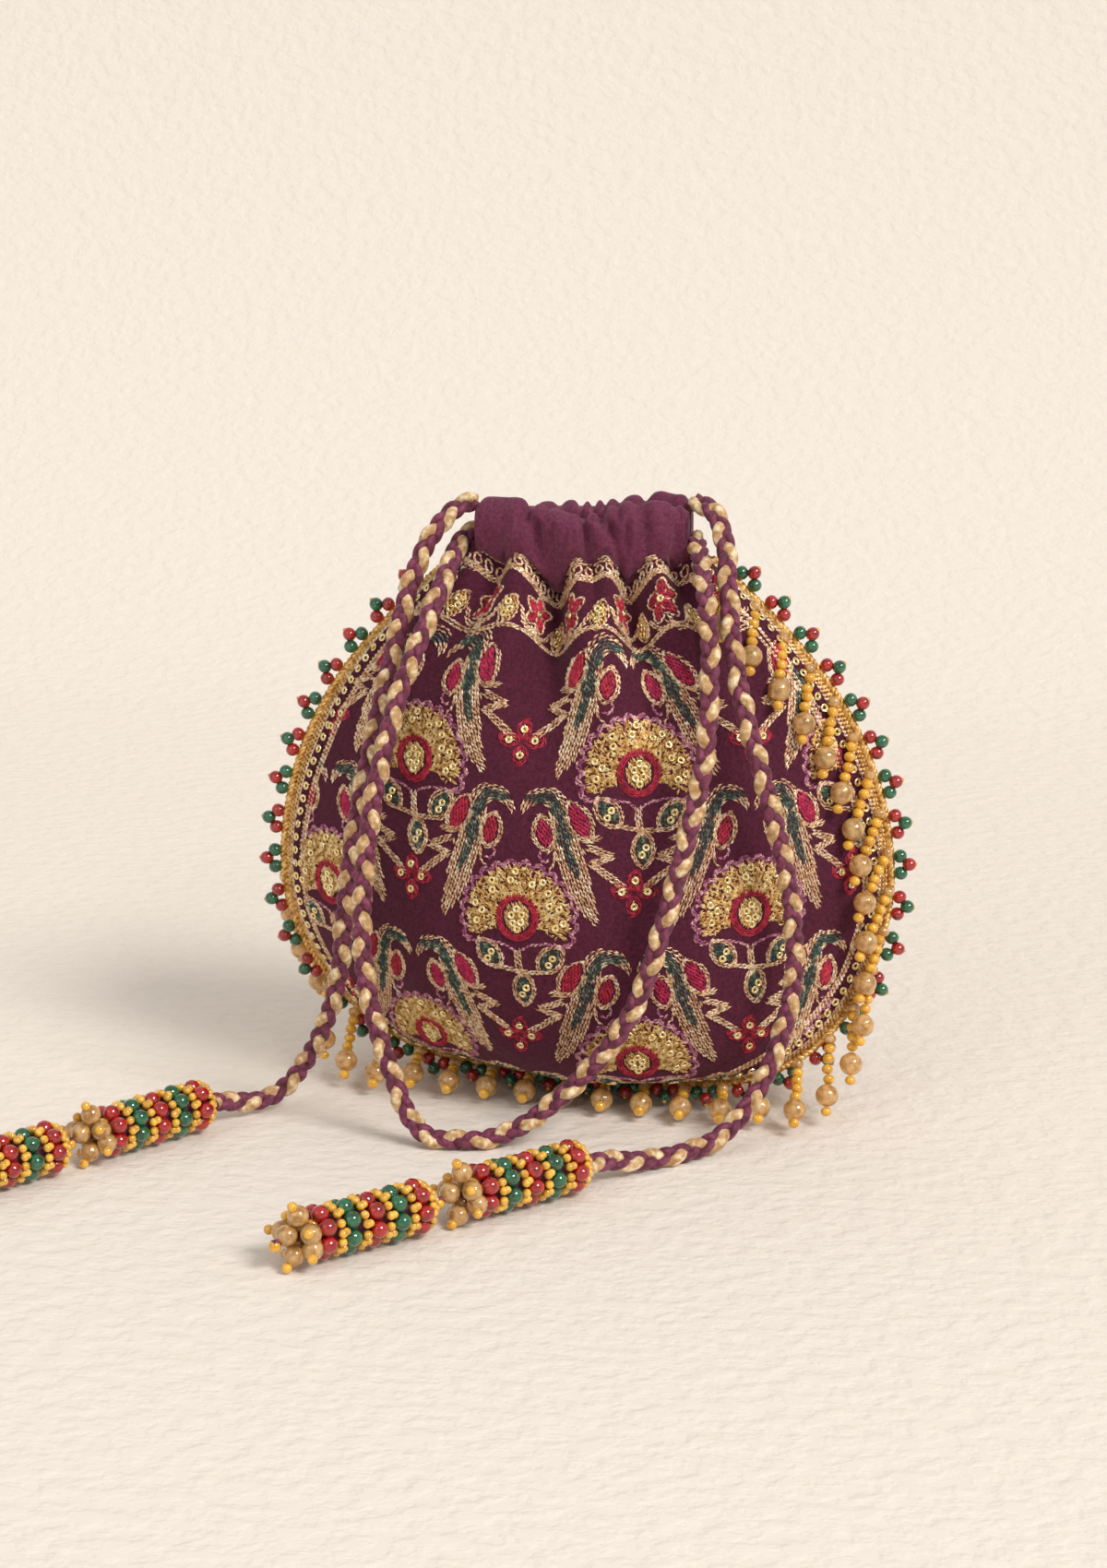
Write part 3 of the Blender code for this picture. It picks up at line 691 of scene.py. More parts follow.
def parrot():
    """A parrot that faces right. The middle of its body is the origin."""
    m = Motif()
    wing = Leaf((-4.4, 6.2), 12.0, 5.0, 60)
    chest = Leaf((7.0, 1.6), 9.0, 4.4, 76)
    greens = [Leaf((8.0, 13.4), 11, 3.2, -10), Leaf((2.6, 9.4), 9, 4.0, 58),
              Leaf((0.4, 1.6), 13, 4.4, 80), Leaf((-2.0, -6.6), 13, 3.2, 68)]

    def colour_of(xy):
        out = np.full(len(xy), "gold", dtype=object)
        for leaf in greens:
            out[leaf.holds(xy)] = "green"
        out[wing.holds(xy, 0.4) | chest.holds(xy, 0.6)] = ""
        return out

    spine = [(14.4, 7.2), (13.0, 11.2), (9.6, 13.8), (6.0, 13.8), (2.9, 12.0), (1.2, 8.8), (0.8, 5.0),
             (0.0, 0.0), (-1.8, -5.6), (-4.0, -12.0), (-6.2, -18.4), (-8.6, -24.0), (-11.2, -28.4)]
    widths = [0.8, 3.4, 5.2, 6.0, 7.0, 8.0, 8.4, 9.2, 9.8, 8.8, 7.2, 5.0, 1.0]
    m.ribbon(spine, widths, colour_of)
    m.rim("gold", wing, 0.9)
    m.line("gold", wing.outline(1.7)[8:34], smooth=False)
    m.line("gold", [(-7.0, 0.2), (-11.2, 0.6)], 3, 0.7)
    m.rim("gold", chest, 0.9, 1.7)
    m.line("pink", [(7.8, -3.2), (8.3, -5.8), (6.4, -7.6), (4.6, -6.4)])
    m.line("gold", [(3.4, -5.0), (3.6, -8.4), (5.2, -10.2)])
    m.fill("red", wing, 0.6)
    m.fill("red", chest, 0.6)
    leg = [(-7.8, -2.4), (-15.4, -5.4), (-9.0, -7.8), (-16.4, -13.2), (-19.8, -16.0)]
    for a, b in zip(leg[:-1], leg[1:]):
        m.line("gold", [a, b], 3, 0.8)
    return m


SCALLOP_DEGREES = 14.75
FAN_BASE_Y = -9.0
FAN_COVER, FAN_CORE_COVER = 1.0, 0.8  # shares of the places that get a stitch
FAN_SEQUINS = [(14, 14.5), (22, 11.8), (55, 15), (66, 12.4), (92, 15.4), (100, 12.6), (126, 14.6),
               (134, 12), (165, 14.8), (172, 12), (188, 14), (-4, 15.6), (-12, 13.2), (40, 13.6)]


def fan_flower():
    """A fan-shaped flower with its stem and leaves. The middle of its ring is the origin."""
    m = Motif()
    outline = []
    for a in np.linspace(-28, 208, 200):
        r = 18.2 + 1.9 * abs(math.sin(math.radians((a + 28) * 180 / SCALLOP_DEGREES)))
        outline.append(polar(r, a) * (1.02, 0.98) - (0, 0.5))
    outline = np.array(outline)
    bottom = [(-17, -9.4), (-10, -8.6), (-4, -9.6), (-0.6, -11.6)]
    m.line("pink", outline, smooth=False)
    m.line("pink", outline * 0.955, smooth=False)
    m.line("pink", bottom)
    m.line("pink", [(-x, y) for x, y in bottom])
    for a in np.arange(-24, 205, 2.1):
        for r in np.arange(7.8 + (a % 3) * 0.4, 17.4, 1.7):
            degrees = a + RNG.uniform(-1, 1) * 3
            p = polar(r, degrees) * (1, 0.98)
            if r > 8.2 + 0.30 * abs(a - 90) / 10 or RNG.uniform() < FAN_CORE_COVER:
                if p[1] > FAN_BASE_Y and RNG.uniform() < FAN_COVER:
                    m.add("fan", [p], [math.radians(degrees) + RNG.normal(0, 0.7)])
    for r in (5.4, 6.1, 6.8):
        a = np.arange(0, 2 * math.pi, 1.5 / r)
        m.add("red", np.stack([r * np.cos(a), r * 1.12 * np.sin(a)], axis=1), a + math.pi / 2)
    m.fill("fan", Leaf((0, 0), 10.6, 8.6, 90), 0.75)
    m.sequin((0, 3), (-1.7, 0.9), (1.7, 1.2), (-1.2, -1.7), (1.4, -1.4), (0.2, -3.7))
    m.sequin(*(polar(r, degrees) for degrees, r in FAN_SEQUINS))
    m.line("gold", [(0, -11.6), (0.2, -15), (0.8, -18.6)], 3)
    m.line("gold", [(-6.6, -17.0), (0.8, -18.6), (7.4, -18.8)], 2)
    for leaf in (Leaf((-9.6, -12.9), 11.5, 7.0, 132), Leaf((11.0, -14.0), 11.5, 7.4, 50),
                 Leaf((2.0, -25.0), 12.0, 6.8, 92)):
        m.rim("gold", leaf, 0.4, -0.5)
        m.fill("green", Leaf(leaf.centre, leaf.length - 2.6, leaf.width - 2.2, leaf.degrees), 0.7)
        x, y = leaf.centre
        m.sequin((x - 0.4, y - 1.6), (x + 0.9, y + 0.8))
    m.line("gold", [(0.8, -18.6), (2.0, -20.2)], 2)
    return m


def small_flower():
    """Four red petals with sequins."""
    m = Motif()
    for degrees in (88, 172, 8, 268):
        petal = Leaf(polar(4.3, degrees), 6.2, 4.2, degrees)
        m.rim("red", petal, 0.1, -0.6)
        m.fill("gold", Leaf(petal.centre, 3.2, 1.6, degrees), 0.7)
        m.sequin(petal.centre)
    return m


def star_flower():
    """Five red petals in a gold outline, with a sequin in the middle."""
    m = Motif()
    tips = [polar(5.8 + 1.3 * math.cos(math.radians(5 * a)), 90 + a) for a in range(0, 360, 6)]
    m.line("gold", tips + tips[:1], smooth=False)
    for degrees in range(90, 450, 72):
        m.fill("red", Leaf(polar(3.1, degrees), 6.0, 4.0, degrees), 0.65)
        m.line("gold", [polar(0.8, degrees + 36.1), polar(4.0, degrees + 36.1)])
    m.sequin((0, 0))
    return m


def all_over_pattern(cloth):
    """The whole embroidery of one panel in flat coordinates."""
    m, bird, fan, small, star = Motif(), parrot(), fan_flower(), small_flower(), star_flower()
    for z, start in ((147, 23), (100.5, -16), (48, 23), (1, -16)):
        y = cloth.height(z) if z > 8 else cloth.height(48) - 52
        for k in range(-4, 5):
            x = start + 78 * k
            m.merge(bird, (x - 16, y))
            m.merge(bird, (x + 16, y), mirror=True)
            m.merge(fan, (x + 0.5, y - 26.5))
            m.merge(small, (x + 39, y - 17.5))
    top, low = cloth.height(187.0), cloth.height(181.4)
    for y in (top, low):
        m.line("gold", [(x, y) for x in np.arange(-110, 111, 4.0)], 3, 0.8)
    for x in np.arange(-108, 109, 4.7):
        a = np.arange(0, 2 * math.pi, 0.9)
        m.add("gold", np.stack([x + 1.45 * np.cos(a), (top + low) / 2 + 1.45 * np.sin(a)], axis=1),
              a + math.pi / 2)
    vine = cloth.height(163.0)
    m.line("gold", [(x, vine + 1.2 * math.sin(x * 0.16)) for x in np.arange(-140, 141, 4.0)], 2)
    for k in range(-5, 6):
        x = 25.0 * k - 3
        y = cloth.height(173.0 if k % 2 else 171.5)
        m.merge(star, (x, y))
        m.line("gold", [(x, y - 6.4), (x + 1.5, y - 8.6), (x + 4.5, vine + 0.8)], 3)
        m.line("gold", [(x + 1.5, y - 8.4), (x + 6.5, y - 7.4), (x + 9.5, y - 4.0)], 2)
        m.line("gold", [(x + 0.8, y - 8.4), (x - 4.8, y - 7.4), (x - 8.0, y - 3.0)], 2)
        oval = Leaf((x + 12.8, (y + vine) / 2 + 0.4), 9.0, 5.4, 84)
        m.fill("fan", oval, 0.75)
        m.rim("gold", oval, 0.4)
        m.sequin((x + 12.2, oval.centre[1] + 1.6), (x + 13.6, oval.centre[1] - 0.4),
                 (x + 12.3, oval.centre[1] - 2.0))
    return m


# A stitch is a low pyramid on the cloth: its two ends, its two sides and its crest.
GRAIN = np.array([(0.5, 0, -0.1), (-0.5, 0, -0.1), (0, 0.55, -0.1), (0, -0.55, -0.1), (0, 0, 1)])
GRAIN_FACES = np.array([(0, 2, 4), (2, 1, 4), (1, 3, 4), (3, 0, 4)])
LOWEST_STITCH_Z = 1.6  # the cloth that lies on the ground has no raised work
STITCH_HEIGHT = 0.62


def stitch_points(cloth, rows, length, width):
    """Frames and centres of grains on the cloth for rows of (x, y, direction)."""
    X, Y, angle = rows.T
    ahead = 0.6
    p0, n, ok = cloth.place(X, Y)
    p1, _, _ = cloth.place(X + ahead * np.cos(angle), Y + ahead * np.sin(angle))
    way = p1 - p0
    ok &= np.linalg.norm(way, axis=1) > 0.15
    p0, n, way = p0[ok], n[ok], unit(way[ok])
    way = unit(way - n * (way * n).sum(1, keepdims=True))
    aside = np.cross(n, way)
    count = len(p0)
    centres, frames = [], []
    for sign in (-1, 1):
        turn = sign * 0.22 + RNG.normal(0, 0.09, count)[:, None]
        d = way * np.cos(turn) + aside * np.sin(turn)
        t = np.cross(n, d)
        size = RNG.uniform(0.85, 1.15, (count, 3))
        frames.append(np.stack([d * length * size[:, :1], t * width * 0.62 * size[:, 1:2],
                                n * STITCH_HEIGHT * size[:, 2:]], axis=1))
        shift = aside * sign * width * 0.24 + way * sign * length * 0.12
        centres.append(p0 + shift + n * 0.05)
    return np.concatenate(frames), np.concatenate(centres)


def make_embroidery(name, cloth, motif, mats):
    """One mesh of stitches per colour, and one of the sequins."""
    pieces = []
    for colour, parts in motif.stitches.items():
        length, width = STITCH[colour]
        rows = np.concatenate(parts)
        rows[:, :2] += RNG.normal(0, 0.09, (len(rows), 2))
        frames, centres = stitch_points(cloth, rows, length, width)
        points, faces = copies(GRAIN, GRAIN_FACES, frames, centres)
        pieces.append(new_mesh(f"{name}_{colour}_0", points, faces, mats[colour]))
    spots = np.array(motif.sequins)
    p, n, ok = cloth.place(spots[:, 0], spots[:, 1])
    pieces.append(make_sequins(f"{name}_sequins", p[ok], n[ok], mats["sequin"]))
    return pieces


def sequin_template(outer, inner, height, sides=14):
    """A flat ring with a raised rim: the outline of a cup sequin."""
    a = np.linspace(0, 2 * math.pi, sides, endpoint=False)
    rings = [(outer, 0.0), (outer, height * 0.7), (outer * 0.82, height), (inner, height * 0.45),
             (inner, 0.0)]
    points = [(r * math.cos(u), r * math.sin(u), h) for r, h in rings for u in a]
    return np.array(points), grid_faces(5, sides, wrap=True)


def make_sequins(name, centres, normals, mat, radius=1.3):
    template, faces = sequin_template(radius, radius * 0.34, 0.5)
    tilt = unit(normals + RNG.normal(0, 0.10, normals.shape))
    first = unit(np.cross(tilt, [[0.3, 0.2, 1.0]]))
    frames = np.stack([first, np.cross(tilt, first), tilt], axis=1)
    points, quads = copies(template, faces, frames, centres + normals * 0.55)
    return new_mesh(name, points, quads, mat)


# ---------------------------------------------------------------- the pieces

def panel_piece(name, cloth, mat):
    rows, columns = cloth.grid.shape[:2]
    faces = grid_faces(rows, columns)
    if cloth.side > 0:
        faces = faces[:, ::-1]
    return new_mesh(name, cloth.grid.reshape(-1, 3), faces, mat)


def lining_piece(front, back, mat):
    """The inner pouch, a little inside both panels."""
    pile = Pile()
    for cloth in (front, back):
        inner = cloth.grid - cloth.normals * 2.0
        inner = inner[::3, 3:-3:3]
        keep = inner[inner[:, inner.shape[1] // 2, 2] < 189]
        faces = grid_faces(*keep.shape[:2])
        pile.add(keep.reshape(-1, 3), faces if cloth.side > 0 else faces[:, ::-1])
    return pile.mesh("lining_visual", mat)


def casing_lobes(x, folds, share):
    """1 on the lobes of a casing and 0 in its valleys, from share 0 at the rim to 1 at the foot."""
    lobe = np.ones(len(x))
    for rim_x, foot_x, width, depth, _ in folds:
        centre = rim_x * (1 - share) + foot_x * share
        lobe -= depth * np.exp(-((x - centre) / (width * (1 + 0.4 * share))) ** 2)
    return np.clip(lobe, 0, 1.2)


def casing_piece(name, cloth, folds, mat):
    """The gathered casing round the drawstring. It starts at the top of the cloth, bulges out in
    lobes between tight valleys, and turns in at the mouth."""
    side, (end_x, end_y) = cloth.side, CASING_END
    x = np.linspace(-end_x - 2.8, end_x + 2.8, HEADER_COLUMNS)
    y = side * (end_y + CASING_BULGE * (1 - np.clip(x / end_x, -1, 1) ** 2))
    path = np.stack([x, y], axis=1)
    along = unit(np.gradient(path, axis=0))
    outward = np.stack([-along[:, 1], along[:, 0]], axis=1) * side
    row = cloth.grid[-4]
    top_y, top_z = (np.interp(x, row[:, 0], row[:, k]) for k in (1, 2))
    start = np.maximum((top_y - y) * side, -2.5)
    rim, waist, foot = (casing_lobes(x, folds, share) for share in (0, 0.5, 1))
    rise = sum(fold[-1] * np.exp(-((x - fold[0]) / 9) ** 2) for fold in folds)
    ends = smooth_step((end_x + 3.2 - np.abs(x)) / 5)
    columns = []
    for j in range(len(x)):
        thin = 0.55 + 0.45 * ends[j]
        top, out, base = ((2.8 + 4.9 * lobe[j]) * thin for lobe in (rim, waist, foot))
        low, high = top_z[j], 201.6 + 3.2 * rim[j] * ends[j] + rise[j]
        wave = 0.3 * math.sin(0.9 * x[j]) + 0.2 * math.sin(2.3 * x[j] + 1)
        profile = [(start[j] - 0.8, low - 0.6), (start[j] + 0.3, low + 2.2),
                   (0.5 * (start[j] + base) + 0.9, low + 5), (out + wave, 197.5),
                   (0.8 * top + wave, 0.6 * high + 0.4 * 197.5), (0.25 * top, high),
                   (-2.0, high - 1.2), (-3.8 - 0.8 * rim[j], 198), (-3.6, 190), (-2.5, 185)]
        ring = smooth_through(profile + profile[:1], HEADER_SIDES + 1)[:-1]
        ground = path[j] + outward[j] * ring[:, :1]
        columns.append(np.column_stack([ground, ring[:, 1]]))
    grid = np.array(columns)
    for k in range(3):
        grid[1:-1, :, k] = (grid[:-2, :, k] + 2 * grid[1:-1, :, k] + grid[2:, :, k]) / 4
    faces = grid_faces(HEADER_COLUMNS, HEADER_SIDES, wrap=True)
    caps = end_caps(HEADER_COLUMNS, HEADER_SIDES)
    pile = Pile()
    pile.add(grid.reshape(-1, 3), *((faces[:, ::-1], caps) if side > 0 else (faces, caps[:, ::-1])))
    return pile.mesh(name, mat)


def plait(name, route, mats):
    """A plait of one wide gold yarn and two plum yarns along a route. Its broader side faces
    forward and up."""
    rough = smooth_through(route, 400)
    line = smooth_through(route, int(arc(rough)[-1] / 0.8))
    along = unit(np.gradient(line, axis=0))
    across = unit(np.cross(along, PLAIT_FACING))
    third = np.cross(across, along)
    turn = arc(line) * 2 * math.pi / PLAIT_PITCH
    pile = Pile()
    for k, radius in enumerate(PLAIT_YARNS):
        a = turn + 2 * math.pi * k / 3
        aside = PLAIT_SWING * np.sin(a)
        over = PLAIT_LIFT * np.sin(2 * a)
        centre = line + across * aside[:, None] + third * over[:, None]
        centre[:, 2] = np.maximum(centre[:, 2], radius + 0.05)
        yarn = tube(centre, radius, 9)
        pile.add(*yarn)
    obj = pile.mesh(name, mats["cord_plum"])
    obj.data.materials.append(mats["cord_gold"])
    index = np.zeros(len(obj.data.polygons), np.int32)
    index[:len(yarn[1])] = 1  # the first yarn is the gold one
    obj.data.polygons.foreach_set("material_index", index)
    return obj, line


EDGE_ROWS = {"gold": (3.4, 7.7, 8.7), "trim": (1.5, 2.4)}  # how far in from the seam
EDGE_SEQUINS = 5.5


def edge_trim(front, back, mats):
    """Braid, chain rows and sequins round the seam of both panels."""
    shares = np.linspace(0.004, 0.996, 560)
    seam, _ = seam_at(shares)
    along = unit(np.gradient(seam, axis=0))
    inward = unit(np.stack([-along[:, 2], np.zeros(len(seam)), along[:, 0]], axis=1))
    pile = Pile()
    twist = arc(seam) * 2 * math.pi / 5.2
    _, across, third = cord_frames(seam)
    for k in range(3):
        a = twist + k * 2 * math.pi / 3
        line = seam + (across * np.cos(a)[:, None] + third * np.sin(a)[:, None]) * 0.85
        pile.add(*tube(line, 0.85, 6))
    pieces = [pile.mesh("edge_cord", mats["trim"])]
    for cloth in (front, back):
        label = "front" if cloth.side < 0 else "back"
        flat = [Vector(point) for point in cloth.grid.reshape(-1, 3)]
        tree = BVHTree.FromPolygons(flat, grid_faces(*cloth.grid.shape[:2]).tolist())
        for colour, distances in EDGE_ROWS.items():
            rows = [on_cloth(tree, seam + inward * d, cloth.side, d) for d in distances]
            chains = [chain_on_line(*row, 2.0, 0.85) for row in rows]
            frames, centres = (np.concatenate(part) for part in zip(*chains))
            p, q = copies(GRAIN, GRAIN_FACES, frames, centres)
            pieces.append(new_mesh(f"edge_{label}_{colour}_rows", p, q, mats[colour]))
        points, normals = on_cloth(tree, seam + inward * EDGE_SEQUINS, cloth.side, EDGE_SEQUINS)
        s = arc(points)
        at = np.arange(3, s[-1], 4.6)
        p, n = sampled(points, s, at), unit(sampled(normals, s, at))
        pieces.append(make_sequins(f"edge_{label}_sequins", p, n, mats["sequin"], 1.45))
    return pieces


def on_cloth(tree, targets, side, distance):
    """The points of a panel nearest to the targets, and its normals there."""
    points, normals = [], []
    for target in targets:
        start = Vector(target) + Vector((0, side * 0.9 * distance, 0))
        place, normal, _, _ = tree.find_nearest(start)
        if normal.y * side < 0:
            normal = -normal
        points.append(place)
        normals.append(normal)
    points, normals = np.array(points), np.array(normals)
    kernel = np.ones(7) / 7
    for k in range(3):
        points[3:-3, k] = np.convolve(points[:, k], kernel, "valid")
        normals[3:-3, k] = np.convolve(normals[:, k], kernel, "valid")
    return points, unit(normals)


def chain_on_line(points, normals, length, width):
    """Frames and centres of a row of chain stitch along a line on the cloth."""
    s = arc(points)
    at = np.arange(0, s[-1], length * 0.78)
    p, n = sampled(points, s, at), unit(sampled(normals, s, at))
    way = unit(np.gradient(p, axis=0))
    aside = unit(np.cross(n, way))
    frames, centres = [], []
    for sign in (-1, 1):
        turn = sign * 0.28
        d = way * math.cos(turn) + aside * math.sin(turn)
        frames.append(np.stack([d * length, np.cross(n, d) * width * 0.6, n * 0.75], axis=1))
        centres.append(p + aside * sign * width * 0.25 + way * sign * 0.15 + n * 0.1)
    return np.concatenate(frames), np.concatenate(centres)


def cloth_depth(line, x, z):
    """How far one side of the pouch stands from its middle plane."""
    seam = seam_curve(120)
    share = np.clip((z - SEAM[0][1]) / (NECK_Z - SEAM[0][1]), 0, 1)
    half = max(np.interp(z, seam[:, 2], seam[:, 0]), 1)
    dense = smooth_through([(100 * f, y, zz) for f, y, zz in line], 240)
    my = np.interp(100 * share, dense[:, 0], dense[:, 1])
    q = min(abs(x) / half, 1.0)
    return abs(my) * (1 - q * q) ** crown_at(share)


def small_count(anchor):
    """How many small beads a strand has: fewer under the bag."""
    return UNDERSIDE_SMALL_COUNT if anchor[2] < BAG_UNDERSIDE_Z else STRAND_SMALL_COUNT


def strand_length(anchor):
    return STRAND_SMALL_PITCH * small_count(anchor) + 2 * STRAND_PEARL_R + 2 * STRAND_TIP_R


def strand_aim(anchor, side):
    """Which way a strand hangs: over the cloth, and out along the ground under the bag."""
    x, y, z = anchor
    length = strand_length(anchor)
    upright = smooth_step((z - 8) / 40) * smooth_step((175 - z) / 90)
    inward = STRAND_LEAN[0] * upright * smooth_step((z - 34) / 40) * (1 if side < 0 else -0.3)
    end_x = x - np.sign(x) * inward * length
    depth = cloth_depth(FRONT_LINE if side < 0 else BACK_LINE, end_x, z - 0.8 * length)
    depth *= smooth_step((z - 50) / 30)
    away = max(depth + STRAND_PEARL_R + 2.6 - abs(y), STRAND_LEAN[1] * upright * length)
    level = math.hypot(end_x - x, away)
    drop = min(math.sqrt(length**2 - level**2), z - STRAND_PEARL_R - 0.2)
    away = math.sqrt(max(length**2 - drop**2 - (end_x - x) ** 2, 0))
    return np.array([end_x - x, side * away, -drop])


def bead_piles():
    return {colour: Pile() for colour in ("amber", "pearl", "red_bead", "green_bead", "gold_bead")}


def fringe(piles, thread):
    """Forty strands, and between each two a picot of three beads."""
    shares = np.linspace(FRINGE_START, FRINGE_END, STRANDS)
    seam, _ = seam_at(shares)
    for point in seam:
        side = 1 if point[0] < 0 and point[2] > 40 else -1
        anchor = point + np.array([0, side * STRAND_ASIDE, 0])
        way = unit(strand_aim(anchor, side))
        count = small_count(anchor)
        small = [anchor + way * STRAND_SMALL_PITCH * (i + 0.5) for i in range(count)]
        small = np.array(small) + RNG.normal(0, 0.15, (len(small), 3))
        add_balls(piles["pearl"], small[:1], 2.1, [way], 8, 10, 0.85)
        axes = unit(way + RNG.normal(0, 0.1, (count - 1, 3)))
        add_balls(piles["amber"], small[1:], STRAND_SMALL_R, axes, 8, 11, 0.85)
        pearl = anchor + way * (STRAND_SMALL_PITCH * count + STRAND_PEARL_R)
        add_balls(piles["pearl"], [pearl], STRAND_PEARL_R, [way], 14, 20)
        tip = pearl + way * (STRAND_PEARL_R + STRAND_TIP_R - 0.2)
        add_balls(piles["amber"], [tip], STRAND_TIP_R, [way], 8, 11, 0.85)
        thread.add(*tube(np.array([point, anchor, tip + way * 1.5]), 0.35, 5))
    gaps = (shares[:-1] + shares[1:]) / 2
    seam, outward = seam_at(gaps)
    tangent = unit(seam_at(gaps + 0.004)[0] - seam_at(gaps - 0.004)[0])
    for i, (point, out, along) in enumerate(zip(seam, outward, tangent)):
        inner, outer = ("red_bead", "green_bead") if i % 2 else ("green_bead", "red_bead")
        bases = [point + out * 3.3 + along * 2.95 * sign for sign in (-1, 1)]
        axes = [unit(out * 0.7 - along * sign) for sign in (-1, 1)]
        add_balls(piles[inner], bases, PICOT_R, axes, 9, 12, 0.92)
        add_balls(piles[outer], [point + out * 6.3], PICOT_R, [along], 9, 12, 0.92)
        add_balls(piles["gold_bead"], [point + out * 8.4], 0.75, [out], 6, 8)
        loop = [point + along * 3.6, bases[1], point + out * 6.9, bases[0], point - along * 3.6]
        thread.add(*tube(smooth_through(loop, 16), 0.28, 5))


def tassel(start, aim, piles, thread):
    """Two drums of netted beads, each with a tuft of pearls below it."""
    aim = unit(np.array([*aim, 0.0]))
    across = np.array([-aim[1], aim[0], 0.0])
    up = np.array([0.0, 0.0, 1.0])
    at = np.array(start, float) + aim * 1.2
    at[2] = TASSEL_Z

    def ring(pile, distance, radius, count, bead, phase):
        a = np.arange(count) * 2 * math.pi / count + phase
        way = across * np.cos(a)[:, None] + up * np.sin(a)[:, None]
        tangent = -across * np.sin(a)[:, None] + up * np.cos(a)[:, None]
        places = at + aim * distance + way * radius
        places = places + RNG.normal(0, 0.12, places.shape)
        places[:, 2] = np.maximum(places[:, 2], bead + 0.15)
        rings, sides = (9, 12) if bead > 2 else (6, 9)
        add_balls(piles[pile], places, bead, tangent, rings, sides, 0.92)

    pitch = (DRUM_LENGTH - 4) / DRUM_ROWS
    for _ in range(2):
        core = np.array([at + aim * s for s in np.linspace(0.5, DRUM_LENGTH + 3, 12)])
        thread.add(*tube(core, 4.3, 10))
        link = np.array([at + aim * s for s in np.linspace(DRUM_LENGTH, DRUM_LENGTH + 13.5, 8)])
        thread.add(*tube(link, 1.2, 8))
        for row in DRUM_HEAD:
            ring("gold_bead", *row)
        for row in range(DRUM_ROWS):
            distance = 3.6 + pitch * (row + 0.5)
            if row % 2 == 0:
                colour = "red_bead" if row % 4 == 0 else "green_bead"
                ring(colour, distance, 5.9, 7, 2.95, row * 0.4)
            else:
                ring("gold_bead", distance, 6.9, 14, 1.5, row * 0.4)
                ring("gold_bead", distance - 1.0, 7.2, 7, 1.35, row * 0.4 + 0.05)
        for k in range(TUFT_PEARLS):
            a = 2 * math.pi * k / TUFT_PEARLS + 0.5
            way = across * math.cos(a) + up * math.sin(a)
            spread = unit(aim + way * (0.62 + 0.25 * math.sin(2.3 * k)))
            root = at + aim * (DRUM_LENGTH - 0.5) + way * 2.6
            reach = 4.2 + 3.6 * (k % 2)
            pearl = root + spread * reach + RNG.normal(0, 0.35, 3)
            pearl[2] = max(pearl[2], 3.6)
            add_balls(piles["amber"], [root + spread * 0.8], 1.8, [spread], 8, 11)
            add_balls(piles["pearl"], [pearl], TUFT_PEARL_R, [spread], 12, 18)
            tip = pearl + unit(spread + way * 0.6) * 4.3
            tip[2] = max(tip[2], 1.8)
            add_balls(piles["amber"], [tip], 1.6, [spread], 8, 11)
        middle = at + aim * (DRUM_LENGTH + 8.6) + up * 1.5
        add_balls(piles["pearl"], [middle], TUFT_PEARL_R, [aim], 12, 18)
        end = at + aim * (DRUM_LENGTH + 12.8) - up * 1.0
        add_balls(piles["amber"], [end], 1.9, [aim], 8, 11)
        at = at + aim * (DRUM_LENGTH + TUFT_LENGTH + 0.7)


# ---------------------------------------------------------------- stage

def make_floor():
    """Rough plaster: a ground that sweeps up into a wall behind the bag."""
    s = Shader("plaster_ground", (0.86, 0.80, 0.72), 0.95, Specular_IOR_Level=0.15)
    s.colour(s.noise(160, 4), [(0.25, (0.835, 0.775, 0.705)), (0.75, (0.86, 0.80, 0.73))])
    s.bump(s.ramp(s.noise(120, 3, (1, 1.2, 1.2)), [(0.4, (0, 0, 0)), (0.6, (1, 1, 1))]), 0.35, 0.0011)
    ground = [(y, 0.0) for y in range(-2500, 401, 100)]
    bends = [math.pi / 2 * i / 30 for i in range(1, 31)]
    sweep = [(500 + 900 * math.sin(a), 1980 * (1 - math.cos(a))) for a in bends]
    points = [(x, y, z) for y, z in ground + sweep for x in (-3000, 3000)]
    return new_mesh("backdrop", np.array(points), grid_faces(len(points) // 2, 2), s.mat)


def add_to_scene(name, data):
    obj = bpy.data.objects.new(name, data)
    bpy.context.scene.collection.objects.link(obj)
    return obj


def make_light(name, place, target, size, power, colour):
    data = bpy.data.lights.new(name, "AREA")
    data.size = size
    data.energy = power
    data.color = colour
    light = add_to_scene(name, data)
    light.location = place
    way = Vector(target) - Vector(place)
    light.rotation_euler = way.to_track_quat("-Z", "Y").to_euler()


def make_sun(direction, strength, degrees, colour):
    data = bpy.data.lights.new("key", "SUN")
    data.energy = strength
    data.angle = math.radians(degrees)
    data.color = colour
    add_to_scene("key", data).rotation_euler = Vector(direction).to_track_quat("Z", "Y").to_euler()


def make_world(strength, colour):
    world = bpy.data.worlds.new("soft_room")
    world.use_nodes = True
    background = world.node_tree.nodes["Background"]
    background.inputs["Color"].default_value = (*colour, 1)
    background.inputs["Strength"].default_value = strength
    bpy.context.scene.world = world


def make_camera():
    data = bpy.data.cameras.new("camera")
    data.lens = LENS
    data.sensor_width = 36
    data.sensor_fit = "AUTO"
    camera = add_to_scene("camera", data)
    camera.rotation_euler = (-Vector(CAMERA_LOOKS)).to_track_quat("Z", "Y").to_euler()
    camera.location = Vector(CAMERA_PLACE) * MM
    bpy.context.scene.camera = camera


# ---------------------------------------------------------------- build

